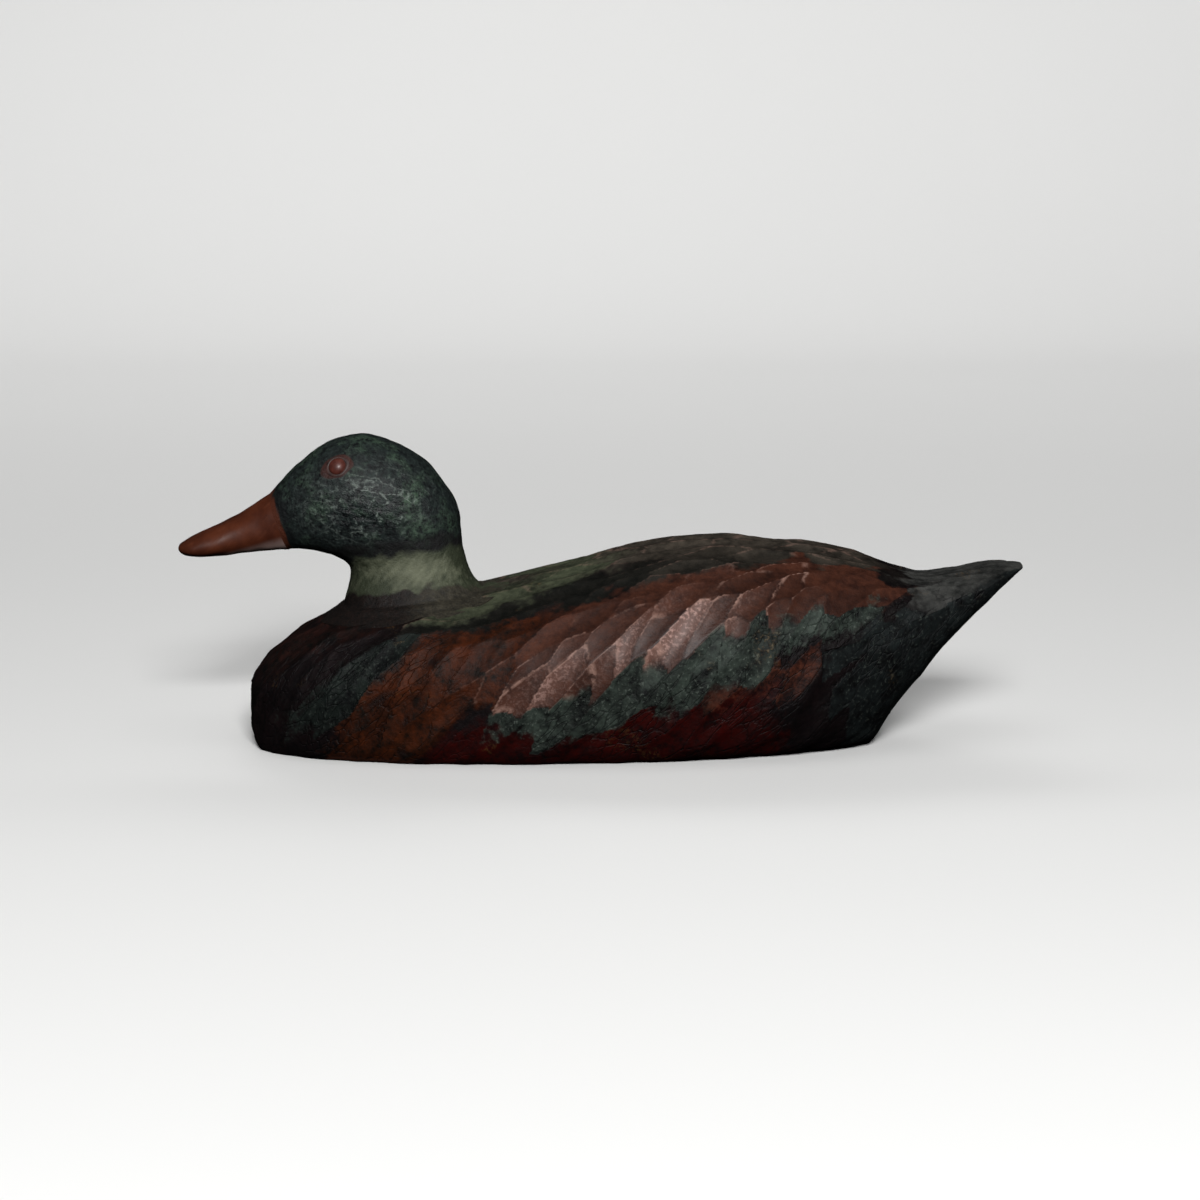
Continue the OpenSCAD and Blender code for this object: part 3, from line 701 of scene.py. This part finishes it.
# Lines of the paint on either side, as [x, height seen from the side]
paintLines = {
    "wingTop": [(-120, 26), (-100, 36), (-88, 43), (-77, 48), (-56, 52), (-37, 58.5), (0, 68.5), (34, 75.5),
                (67, 82.5), (89, 86), (117, 83), (133, 79), (146, 75), (160, 71)],
    "wingLow": [(-126, -20), (-90, -12), (-70, 5), (-63, 13), (-47, 14.7), (-32, 17.8), (0, 25.3), (13, 32.1),
                (27, 36), (40, 41.3), (50, 46.6), (58, 50.5), (72, 53.4), (88, 57.2), (98, 58), (113, 61.2),
                (126, 64.5), (140, 66.4), (160, 69)],
    "tealLow": [(-60, 12), (-50, 5), (-25, -3), (0, 0.2), (10.6, 4.1), (20, 7.9), (33, 12), (44, 17.4),
                (53, 22.7), (64, 26.8), (74, 32.1), (82, 38.6), (90, 43.9), (101, 46.6), (113, 49.2),
                (122, 51.9), (140, 56)],
    "darkTop": [(-90, 50), (-76, 55), (-55, 62), (-36, 69), (0, 79), (34, 87), (60, 90), (90, 90.5),
                (117, 87), (135, 82)],
    "streakMid": [(-98, 48), (-88, 52.4), (-73, 58.2), (-54, 65), (-31, 74), (-16, 79), (0, 86)],
    "redTop": [(-110, 6), (-50, 6), (0, 8), (30, 14), (50, 20), (75, 22), (110, 22)],
    "tailLow": [(150, 60), (163, 62.5), (177, 70.5), (193, 78.5), (203, 82)],
    "rearTop": [(120, 56), (163, 62.5), (177, 70.5), (193, 78.5), (203, 82)]}
# The back edge of the chest's paint, as [height seen from the side, x]
chestBack = [(0, -126), (13, -120), (24, -107), (37, -92), (45, -88), (60, -84)]


def lineAt(points, value):
    return np.interp(value, *np.array(points, float).T)


def sideHeight(points):
    return sideView["rise"] * points[..., 2] - sideView["out"] * np.abs(points[..., 1])


def hill(value, middle, width):
    # Bell curve: 1 at the middle, and 1/e of it at the width to either side
    return np.exp(-(((value - middle) / width) ** 2))


def bodyTop(x, y, samples=800):
    # Height of the smooth back over a place: the upper curve solved for its height at the given distance out
    rows = through(hullRows, np.linspace(0, len(hullRows) - 1, samples))
    top, wide, half = (np.interp(x, rows[:, 0], rows[:, k]) for k in (1, 2, 3))
    sine = np.clip(np.abs(y) / half, 0, 0.999) ** (1 / drawn["squareness"])
    return wide + (top - wide) * np.sqrt(1 - sine**2) ** drawn["squareness"]


def neckReach(points):
    # 1 on the outline of the neck's foot, less inside and more outside
    return np.sqrt(np.abs((points[..., 0] - neck["x"]) / neck["halfLength"]) ** neck["power"]
                   + np.abs(points[..., 1] / neck["halfWidth"]) ** neck["power"])


def bodyHeading(centre, normal):
    # Cuts climb towards the tail: steeply on the side, and nearly along the back; some stand almost upright.
    # The scale makes them larger in the middle of the wing and smaller on the chest
    x, z = centre[0], centre[2]
    side = 0.92 - 0.50 * smooth(0.60, 0.97, normal[2])
    upright = 0.62 * hill(x, 76, 16) * hill(z, 62, 12)
    rear = -0.25 * smooth(95, 130, x)
    scale = 1.0 + 0.35 * hill(x, 5, 60) * hill(z, 48, 26) - 0.3 * smooth(-105, -145, x)
    return side + upright + rear, scale


def columnValues(counts):
    parts = [np.linspace(k, k + 1, int(n * fine), endpoint=False) for k, n in enumerate(counts)]
    half = np.concatenate(parts)
    return np.concatenate([[-4.0], -half[:0:-1], half])


def paintMarks(points, home):
    # Masks from 0 to 1 for each layer of paint: the signed height above a line, softened and made wavy.
    # Each place is drawn part of the way to the middle of its cut, so that edges of paint follow the cuts.
    place = points + (home - points) * body["followCuts"]
    wavy = place + waves(points, 22, 3)[..., None] * 1.0 + waves(points, 5, 4)[..., None] * 0.4
    x, up = wavy[..., 0], sideHeight(wavy)
    above = {name: up - lineAt(line, x) for name, line in paintLines.items()}
    behindChest = x - lineAt(chestBack, up)
    wing = smooth(3.5, -3.5, above["wingTop"]) * smooth(-3.5, 3.5, above["wingLow"])
    wing = wing * smooth(-6, 6, behindChest) * smooth(162, 130, x)
    front = smooth(-38, -76, x - 0.5 * up) * smooth(0.5, 5, points[..., 2])
    overWing = smooth(-4, 3, above["wingTop"])
    olive = np.maximum(smooth(-3, 4, above["darkTop"]), overWing * smooth(-10, 50, x))
    teal = smooth(3.5, -3.5, above["wingLow"]) * smooth(-1, 7, above["tealLow"])
    darkBand = overWing * smooth(6, -4, above["darkTop"]) * (1 - 0.5 * smooth(-10, 50, x))
    streak = hill(above["streakMid"], 0, 1.6 + 3.4 * smooth(-94, -58, x))
    crackFront = smooth(-50, -80, x) * smooth(56, 40, up)
    crackSide = smooth(2, -2, above["wingLow"]) * smooth(-50, -20, x)
    # Bands along the wing where the light's reflection falls: sheen carries the painted highlight, and
    # nearSheen the painted glints and shade on the ridges
    sheen = hill(up, 36 + 0.42 * (x - 5), 12) * smooth(-66, -20, x) * smooth(84, 48, x)
    nearSheen = hill(up, 38 + 0.40 * (x - 5), 15) * smooth(-75, -40, x) * smooth(104, 84, x)
    marks = {
        "wing": wing * (1 - front),
        "wingFront": wing * front,
        "teal": teal * smooth(-66, -46, x) * smooth(146, 128, x),
        "darkBand": darkBand * smooth(-104, -80, x),
        "streak": streak * smooth(-88, -76, x) * smooth(20, -10, x),
        "olive": olive * smooth(-100, -72, x) * smooth(142, 124, x),
        "redLow": smooth(6, -4, above["redTop"]) * smooth(-110, -60, x) * smooth(110, 60, x + 0.6 * up),
        "redStreak": hill(x, 70 + (up - 27) * 1.7, 20) * hill(up, 29, 14),
        "chest": hill(x, -117 + (up - 25) * 1.1, 17) * smooth(0, 12, up) * smooth(50, 38, up),
        "shoulder": hill(up, 52 + (x + 125) * 0.35, 9) * smooth(-40, -75, x),
        "tail": smooth(140, 160, x) * smooth(-3, 2, above["tailLow"]),
        "rear": (1 - wing) * smooth(112, 132, x) * smooth(3, -2, above["rearTop"]),
        "crackArea": np.clip(crackFront + crackSide, 0, 1)}
    marks["speckled"] = np.clip(marks["teal"] + 0.5 * marks["rear"] + 0.35 * marks["chest"], 0, 1)
    # sheen and edgeLight place the painted highlight and the painted light and shade on the ridges
    marks["sheen"] = sheen * np.clip(marks["wing"] + 0.3 * marks["wingFront"], 0, 1)
    marks["edgeLight"] = np.clip(marks["wing"] + marks["wingFront"], 0, 1) * nearSheen + 0.3 * marks["olive"]
    return marks


def seamStations(s, samples=4000):
    # Moves the nearest stations to where the underside crosses the seam, and gives their places in the list
    steps = np.linspace(0, len(hullRows) - 1, samples)
    underSeam = np.where(through(hullRows, steps)[:, 4] < drawn["seam"])[0]
    found = []
    for crossing in steps[underSeam[[0, -1]]]:
        found.append(np.argmin(np.abs(s - crossing)))
        s[found[-1]] = crossing
    return found


def carvedHull():
    g = columnValues(body["columns"])
    s = evenSteps(lambda k: hullPoints(k, g[::6]), 0, len(hullRows) - 1, int(body["stations"] * fine))
    front, rear = seamStations(s)
    smoothHull = hullPoints(s, g)
    normals = outwards(smoothHull)
    height, home, cutMarks = gougeCuts(smoothHull, normals, bodyCuts, bodyHeading)
    # The cuts fade at nose and tail, towards the ground, and where the neck's foot sits
    fromEnd = np.minimum(np.arange(len(s)), len(s) - 1 - np.arange(len(s)))
    height = height + body["lift"] + 0.04 * waves(smoothHull, 9, 5)
    height = height * smooth(0, body["fadeEnds"], fromEnd)[:, None]
    height = height * (0.3 + 0.7 * smooth(1, 12, smoothHull[..., 2]))
    nearNeck = smooth(1.0, 1.0 + body["fadeNeck"] / neck["halfWidth"], neckReach(smoothHull))
    upper = (np.abs(g) < 1)[None, :]
    height = height * np.where(upper, 0.2 + 0.8 * nearNeck, 1)
    points = smoothHull + normals * height[..., None]
    points[..., 2] = np.maximum(points[..., 2], 0)
    flat = (smoothHull[..., 2] < 0.01) & (np.abs(g) >= 3)[None, :]
    points[flat] = smoothHull[flat]
    # The seat under the neck is planed flat, and the seam between body and board is level
    inside = upper & (neckReach(smoothHull) < 0.97)
    seat = neck["seatLow"] + (points[..., 0] - neck["front"]) * neck["seatRise"]
    points[..., 2] = np.where(inside, np.minimum(points[..., 2], seat), points[..., 2])
    points[front:rear + 1, np.isclose(np.abs(g), 2), 2] = drawn["seam"]
    # Past the board's ends the side below the seam has no height, so its columns are folded on to the corner
    ends = np.ones(len(s), bool)
    ends[front + 1:rear] = False
    for sign in (-1, 1):
        corner = np.where(np.isclose(g, 2 * sign))[0][0]
        folded = (g * sign > 2) & (g * sign <= 3)
        points[np.ix_(ends, folded)] = points[ends, corner][:, None]
    marks = paintMarks(smoothHull, home)
    marks.update(cutMarks)
    return {"g": g, "points": points, "marks": marks, "front": front, "rear": rear}


def hollowRings():
    # The same sections, their sides brought in by the wall and their top by the roof, open at the board
    r = through(hullRows, np.linspace(hollow["first"], hollow["last"], hollow["rings"]))
    x, top, wide, half, _, lowHalf = r.T[:, :, None]
    turn = np.arcsin((wide - drawn["seam"]) / wide)
    foot = lowHalf - hollow["side"] + (half - lowHalf) * np.cos(turn)
    angle = np.linspace(-math.pi / 2, math.pi / 2, hollow["around"])
    y = (half - hollow["side"]) * signedPower(np.sin(angle), drawn["squareness"])
    z = wide + (top - hollow["roof"] - wide) * np.clip(np.cos(angle), 0, 1) ** drawn["squareness"]
    floorZ = np.full(x.shape, float(drawn["seam"]))
    y, z = np.concatenate([-foot, y, foot], axis=1), np.concatenate([floorZ, z, floorZ], axis=1)
    return np.stack([np.broadcast_to(x, y.shape), y, z], -1)


def makeBody(hull):
    # The outer skin leaves out the cells that belong to the board, and the hollow is turned to face inwards
    g, points = hull["g"], hull["points"]
    caps = len(body["capShares"])
    nose = shrinking(points[0], body["capShares"], (-body["noseRound"], 0, 0))
    tail = shrinking(points[-1], body["capShares"])
    outer = np.concatenate([nose[::-1], points, tail])
    cellMiddle = np.abs((g + np.append(g[1:], 4.0)) / 2)
    pastBoard = np.ones(len(points) - 1, bool)
    pastBoard[hull["front"]:hull["rear"]] = False
    shellCells = (cellMiddle < 2)[None, :] | ((cellMiddle > 3)[None, :] & pastBoard[:, None])
    wanted = np.pad(shellCells, ((caps, caps), (0, 0)), constant_values=True)
    inner = hollowRings()
    rings, across = inner.shape[:2]
    count = outer.shape[0] * outer.shape[1]
    innerQuads = ringFaces(rings, across, count)[:, :-1, ::-1]
    low = np.arange(across // 2)
    high = across - 1 - low
    fan = np.stack([low[:-1], low[1:], high[1:], high[:-1]], -1)
    faces = np.concatenate([ringFaces(len(outer), len(g))[wanted], innerQuads.reshape(-1, 4),
                            fan + count, fan + count + (rings - 1) * across])
    vertices = np.concatenate([outer.reshape(-1, 3), inner.reshape(-1, 3)])
    marks = {}
    for key, values in hull["marks"].items():
        onOuter = np.pad(values, ((caps, caps), (0, 0)), mode="edge").ravel()
        marks[key] = np.pad(onOuter, (0, rings * across))
    shell = makePiece("carved_body", vertices, faces, materials["body"], marks)
    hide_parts("body_shell")


# Pockets in the underside: each a rounded bar given by middle x and y, length, width, corner and depth.
# They are cut in two goes, because the ring's pocket overlaps the staple's
plugPlaces = ((-152, 0), (-75, 48), (-75, -48), (50, 38), (50, -38), (121, 0))
pockets = {
    "first": [(x, y, 9.1, 9.1, 4.55, 4.0) for x, y in plugPlaces]
    + [(5, 0, 110.3, 36.3, 4.1, 8.05), (-128, 0, 27, 27, 13.5, 8.4)],
    "second": [(-117.5, 0, 29, 29, 14.5, 8.4)]}
pocketCutter = {"around": 64, "below": -2}


def cutPockets(board):
    # Each cutter is a circle pulled apart into a rounded bar, from below the board up to the pocket's depth
    turn = (np.arange(pocketCutter["around"]) + 0.5) * (2 * math.pi / pocketCutter["around"])
    for shapes in pockets.values():
        work = bmesh.new()
        for x, y, length, width, corner, depth in shapes:
            dx = x + np.sign(np.cos(turn)) * (length / 2 - corner) + corner * np.cos(turn)
            dy = y + np.sign(np.sin(turn)) * (width / 2 - corner) + corner * np.sin(turn)
            low, high = ([work.verts.new((a * unit, b * unit, z * unit)) for a, b in zip(dx, dy)]
                         for z in (pocketCutter["below"], depth))
            work.faces.new(low[::-1])
            work.faces.new(high)
            for k in range(len(low)):
                after = (k + 1) % len(low)
                work.faces.new((low[k], low[after], high[after], high[k]))
        mesh = bpy.data.meshes.new("pocket_cutter")
        work.to_mesh(mesh)
        work.free()
        cutter = bpy.data.objects.new("pocket_cutter", mesh)
        bpy.context.scene.collection.objects.link(cutter)
        difference = board.modifiers.new("pockets", "BOOLEAN")
        difference.operation, difference.solver, difference.object = "DIFFERENCE", "EXACT", cutter
        bpy.context.view_layer.update()
        cut = bpy.data.meshes.new_from_object(board.evaluated_get(bpy.context.evaluated_depsgraph_get()))
        board.modifiers.clear()
        board.data = cut
        bpy.data.objects.remove(cutter)
    print("pockets cut:", len(board.data.polygons), "faces")


def makeBoard(hull, lidColumns=12):
    # The board's rings use the columns below the seam, closed across the top at the seam's height
    g = hull["g"]
    span = slice(hull["front"] + 1, hull["rear"])
    order = np.concatenate([np.where((g >= 2) & (g <= 4))[0], np.where((g >= -4) & (g <= -2))[0]])
    rings = hull["points"][span][:, order]
    share = np.linspace(1, 0, lidColumns + 2)[1:-1, None]
    lid = rings[:, -1:] * share + rings[:, :1] * (1 - share)
    rings = np.concatenate([rings, lid], axis=1)
    rings = np.concatenate([shrinking(rings[0], (0.0,)), rings, shrinking(rings[-1], (0.0,))])
    marks = {}
    for key, values in hull["marks"].items():
        withLid = np.pad(values[span][:, order], ((0, 0), (0, lidColumns)))
        marks[key] = np.pad(withLid, ((1, 1), (0, 0)), mode="edge")
    faces = ringFaces(len(rings), rings.shape[1])
    board = makePiece("carved_board", rings, faces, materials["body"], marks)
    cutPockets(board)
    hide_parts("bottom_board")


hull = carvedHull()
makeBody(hull)
makeBoard(hull)

head = {"columns": 190, "stations": 130, "lift": 0.2, "firstStation": 0.5, "flareRings": 22,
        "baseShares": (0.97, 0.5, 0.0), "fadeFoot": (6, 26), "fadeFace": 4}
headCuts = {"depth": 0.30, "sweep": 0.017, "length": 0.007, "lean": 0.015, "sway": 0.6, "uncut": 0.15,
            "stepAlong": 9, "stepAround": 8, "window": 20, "ridge": 0.3}
# Rings of the skirt that the neck's foot spreads into: reach out from the foot, and rise over the back
skirt = [(10.5, -1.0), (10.5, -0.15), (7.5, 0.30), (4.5, 0.75), (1.6, 1.9)]
eyes = {"place": np.array([-124.2, 19.8, 135.9]), "polar": 59.5, "azimuth": 104.3,
        "lean": np.array([1.0, 0.0, 0.42])}
# Lines of the paint on the neck, as [x, height seen from the side]
collarLine = [(-122, 84.5), (-108, 86), (-90, 88.5), (-68, 92)]
neckFootLine = [(-124, 69), (-100, 69.5), (-80, 72.5), (-54, 73)]
billJoint = {"x": -149.5, "z": 92.8, "slope": 3.0}


def headHeading(centre, normal):
    # Cuts on the head turn slowly back and forth along it, and are all of one size
    return 0.5 + 0.6 * math.sin(centre[0] * 0.09), 1.0


def eyeAxes():
    # Straight out of the eye on the +Y side, along its long way, and across it
    polar, azimuth = math.radians(eyes["polar"]), math.radians(eyes["azimuth"])
    level = math.sin(polar)
    out = np.array([level * math.cos(azimuth), level * math.sin(azimuth), math.cos(polar)])
    long = unitLength(eyes["lean"] - out * (eyes["lean"] @ out))
    return out, long, np.cross(out, long)


def headMarks(points):
    # Paint on the head: distance from the eye, from the bill's joint, and height over the collar line
    x, z, up = points[..., 0], points[..., 2], sideHeight(points)
    wavy = waves(points, 9, 11)
    out, long, tall = eyeAxes()
    toEye = np.stack([x, np.abs(points[..., 1]), z], -1) - eyes["place"]
    outOfEye = toEye @ out
    flatEye = toEye - outOfEye[..., None] * out
    eyeReach = np.sqrt((flatEye @ long / 1.22) ** 2 + (flatEye @ tall * 1.02) ** 2) + 0.35 * wavy
    over = up - lineAt(collarLine, x) + 0.8 * wavy
    overFoot = up - lineAt(neckFootLine, x) + 0.8 * wavy
    joint = x - billJoint["x"] + (z - billJoint["z"]) / billJoint["slope"]
    return {
        "eyeTint": smooth(7.6, 4.8, eyeReach) * smooth(-12, -8, outOfEye),
        "sage": smooth(3.2, -3.2, over),
        "billEdge": smooth(3.0, 2.2, joint + 0.25 * wavy) * smooth(90, 92, z),
        "greenPatch": hill(x, -94, 12) * hill(z, 123, 8),
        "collar": smooth(12, 1, over) * smooth(-2, 1, over),
        # painted light on the middle of the neck's side
        "neckSideLight": hill(x, -88, 17) * hill(up, 82, 9),
        "nape": smooth(-96, -76, x),
        "lore": smooth(9.5, 4.0, joint + 0.7 * wavy) * smooth(94, 100, z),
        "foot": smooth(3.5, -3.5, overFoot),
        # cheek: the spot of the painted glints, where the paint is also glossier and wrinkled
        "cheek": hill(x, -108, 22) * hill(z, 117, 13)}


def skirtRings(foot):
    # Copies of the foot spread over the back of the body, lower behind than in front
    away = foot[:, :2] - np.array([neck["x"], 0.0])
    away = unitLength(away / np.array([neck["halfLength"], neck["halfWidth"]]) ** 2)
    share = 1 - 0.8 * smooth(0.2, 0.9, (foot[:, 0] - neck["x"]) / neck["halfLength"])
    rings = []
    for reach, rise in skirt:
        spread = foot.copy()
        spread[:, :2] += away * reach
        back = bodyTop(spread[:, 0], spread[:, 1])
        spread[:, 2] = back + rise * np.where(rise > 0, share, 1) + body["lift"] * 0.2
        rings.append(spread)
    return rings


def makeHead():
    columns = int(head["columns"] * fine)
    steps = railSteps(headRows, head["firstStation"], head["stations"])
    upperRings = railPoints(headRows, steps, columns)
    foot = railPoints(headRows, np.array([0.0]), columns)[0]
    outermost, *spread = skirtRings(foot)
    # Rings blended smoothly from the skirt up into the neck
    knots = np.stack(spread + [upperRings[0], upperRings[2]])
    flare = through(knots, np.linspace(0, len(knots) - 2, head["flareRings"]))
    base = np.concatenate([shrinking(foot, head["baseShares"])[::-1], outermost[None]])
    face = shrinking(upperRings[-1], (0.5, 0.0))
    smoothHead = np.concatenate([flare[:-1], upperRings])
    normals = outwards(smoothHead)
    height, _, cutMarks = gougeCuts(smoothHead, normals, headCuts, headHeading)
    height = height + head["lift"] + 0.05 * waves(smoothHead, 6, 12)
    row, last = np.arange(len(smoothHead))[:, None], len(smoothHead) - 1
    height = height * smooth(*head["fadeFoot"], row) * smooth(last, last - head["fadeFace"], row)
    rings = np.concatenate([base, smoothHead + normals * height[..., None], face])
    marks = headMarks(rings)
    for key, values in cutMarks.items():
        marks[key] = np.pad(values, ((len(base), len(face)), (0, 0)), mode="edge")
    faces = ringFaces(len(rings), columns)
    piece = makePiece("carved_head", rings, faces, materials["head"], marks)
    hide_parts("head_block")


makeHead()

bill = {"columns": 120, "stations": 90, "fadeRings": 6, "unevenness": 0.09, "underPaint": (0.35, 0.8)}


def makeBill():
    columns = int(bill["columns"] * fine)
    steps = railSteps(billRows, 0, bill["stations"])
    rings = railPoints(billRows, steps, columns)
    fade = smooth(0, bill["fadeRings"], np.arange(len(rings)))[:, None]
    rings = rings + outwards(rings) * (bill["unevenness"] * waves(rings, 11, 21) * fade)[..., None]
    rings = np.concatenate([shrinking(rings[0], (0.0,)), rings, shrinking(rings[-1], (0.0,))])
    # Painted reflection of the floor: the underside is pale where the surface faces down
    down = -unitLength(rings - rings.mean(axis=1, keepdims=True))[..., 2]
    marks = {"under": smooth(*bill["underPaint"], down)}
    faces = ringFaces(len(rings), columns)
    piece = makePiece("smooth_bill", rings, faces, materials["bill"], marks)
    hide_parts("bill")


makeBill()

eyeRing = {"inner": 3.9, "outer": 5.5, "corner": 0.2, "cornerPower": 7, "height": 0.8, "sink": 0.35,
           "cheekRadius": 26, "steps": (96, 24)}


def makeEyeRing(side, name, node):
    # A rounded band round the eye, its outer edge drawn out to a corner at each end, that follows the cheek
    around, section = eyeRing["steps"]
    turn = np.linspace(0, 2 * math.pi, around, endpoint=False)[:, None]
    ring = np.linspace(0, 2 * math.pi, section, endpoint=False)[None, :]
    outer = eyeRing["outer"] * (1 + eyeRing["corner"] * np.abs(np.cos(turn)) ** eyeRing["cornerPower"])
    middle, half = (eyeRing["inner"] + outer) / 2, (outer - eyeRing["inner"]) / 2
    reach = middle + half * np.cos(ring)
    rise = eyeRing["height"] * np.sin(ring) - eyeRing["sink"] - reach**2 / (2 * eyeRing["cheekRadius"])
    out, long, tall = eyeAxes()
    local = np.stack([reach * np.cos(turn), reach * np.sin(turn), rise], -1)
    points = eyes["place"] + local[..., :1] * long + local[..., 1:2] * tall + local[..., 2:] * out
    points[..., 1] *= side
    faces = ringFaces(around, section, closed=True)
    piece = makePiece(name, points, faces, materials["eyeRing"])
    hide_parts(node)


makeEyeRing(-1, "eye_rim_left", "eye_ring_left")
makeEyeRing(1, "eye_rim_right", "eye_ring_right")

nodeFinish = {
    "eye": ["eye_left", "eye_right"],
    "birch": ["bill_dowel", "neck_dowel", "seam_dowels"],
    "steel": ["eye_wires", "neck_lag_screw", "neck_washer", "toe_nails"],
    "brass": ["board_screws", "ballast_screws", "line_tie_staple", "line_tie_ring"],
    "ballast": ["ballast_bar"],
    "plug": ["screw_plugs"]}
for finish, nodes in nodeFinish.items():
    for node in nodes:
        for slotOfNode in bpy.data.objects[node].material_slots:
            slotOfNode.material = materials[finish]
print("finishes on the carried parts")

stageSpec = {"floorNear": -9.0, "sweepStart": 1.6, "sweepRadius": 1.2, "wallTop": 5.0, "halfWidth": 6.0,
             "colour": (0.86, 0.86, 0.85), "shade": 0.985, "cloudScale": 3.0, "arcSteps": 24,
             "rough": 0.9, "specular": 0.1}


def makeStage():
    # A floor that turns up into a wall through a quarter circle
    start, radius = stageSpec["sweepStart"], stageSpec["sweepRadius"]
    arc = np.linspace(0, math.pi / 2, stageSpec["arcSteps"])
    y = np.concatenate([[stageSpec["floorNear"]], start + radius * np.sin(arc), [start + radius]])
    z = np.concatenate([[0], radius * (1 - np.cos(arc)), [stageSpec["wallTop"]]])
    x = np.array([-stageSpec["halfWidth"], stageSpec["halfWidth"]])
    points = np.stack(np.broadcast_arrays(x[None, :], y[:, None], z[:, None]), -1)
    row = np.arange(len(y) - 1) * 2
    mesh = bpy.data.meshes.new("studio_sweep")
    faces = np.stack([row, row + 1, row + 3, row + 2], -1)
    mesh.from_pydata(points.reshape(-1, 3).tolist(), [], faces.tolist())
    mesh.shade_smooth()
    material, tree, shader = newMaterial("studioPaper", Roughness=stageSpec["rough"],
                                         **{"Specular IOR Level": stageSpec["specular"]})
    shaded = tuple(c * stageSpec["shade"] for c in stageSpec["colour"])
    cloud = noise(tree, objectPlace(tree), stageSpec["cloudScale"], 2)
    paper = mixColour(tree, cloud, shaded, stageSpec["colour"])
    tree.links.new(paper, shader.inputs["Base Color"])
    mesh.materials.append(material)
    sweep = bpy.data.objects.new("studio_sweep", mesh)
    sweep.visible_diffuse = sweep.visible_glossy = False  # the paper takes shadows and gives no bounce
    bpy.context.scene.collection.objects.link(sweep)


makeStage()

lights = {
    "key": {"place": (0.15, -2.2, 1.38), "aim": (0.02, 0, 0.05), "size": (0.75, 0.68), "power": 72,
            "glossy": True},
    "top": {"place": (0.0, -0.3, 2.0), "aim": (0, 0.0, 0), "size": (1.6, 1.2), "power": 6, "glossy": False},
    "back": {"place": (-0.3, 2.0, 1.7), "aim": (0, 0, 0.05), "size": (1.2, 0.8), "power": 6, "glossy": False},
    "wall": {"place": (0.0, 1.9, 1.7), "aim": (0, 2.3, 0.0), "size": (5.0, 1.2), "power": 31,
             "glossy": False}}
# Strength of the air by the height that a ray heads for: overhead, level, and below the given slope
air = {"above": 0.32, "level": 0.12, "below": 0.03, "belowSlope": -0.35}


def makeLights():
    for name, spec in lights.items():
        data = bpy.data.lights.new(name, "AREA")
        data.shape = "RECTANGLE"
        data.size, data.size_y = spec["size"]
        data.energy = spec["power"]
        lamp = bpy.data.objects.new(name, data)
        lamp.location = spec["place"]
        lamp.visible_glossy, lamp.visible_camera = spec["glossy"], False
        lamp.rotation_mode = "QUATERNION"
        lamp.rotation_quaternion = (Vector(spec["aim"]) - Vector(spec["place"])).to_track_quat("-Z", "Y")
        bpy.context.scene.collection.objects.link(lamp)


def makeAir():
    # Brightest overhead and dark underfoot
    world = bpy.data.worlds.new("studio_air")
    world.use_nodes = True
    tree = world.node_tree
    height = addNode(tree, "SeparateXYZ", {0: addNode(tree, "TexCoord").outputs["Generated"]}).outputs[2]
    # Each map runs from its first height to its second, and gives its third value up to its fourth
    overhead = addNode(tree, "MapRange", {0: height, 1: 0.0, 2: 1.0, 3: air["level"], 4: air["above"]})
    strength = addNode(tree, "MapRange", {0: height, 1: air["belowSlope"], 2: 0.0, 3: air["below"],
                                          4: overhead.outputs[0]})
    tree.links.new(strength.outputs[0], tree.nodes["Background"].inputs["Strength"])
    bpy.context.scene.world = world
    bpy.context.scene.view_settings.view_transform = "Standard"


makeLights()
makeAir()

camera = {"distance": 1.4, "elevation": 11, "aim": (0, 0, 0.0677), "lens": 86.9, "sensor": 36}


def makeCamera():
    data = bpy.data.cameras.new("camera")
    data.lens, data.sensor_width = camera["lens"], camera["sensor"]
    angle = math.radians(camera["elevation"])
    aim = Vector(camera["aim"])
    eye = bpy.data.objects.new("camera", data)
    eye.location = aim + camera["distance"] * Vector((0, -math.cos(angle), math.sin(angle)))
    eye.rotation_euler = (aim - eye.location).to_track_quat("-Z", "Y").to_euler()
    bpy.context.scene.collection.objects.link(eye)
    bpy.context.scene.camera = eye


makeCamera()
print("stage, lights and camera set")
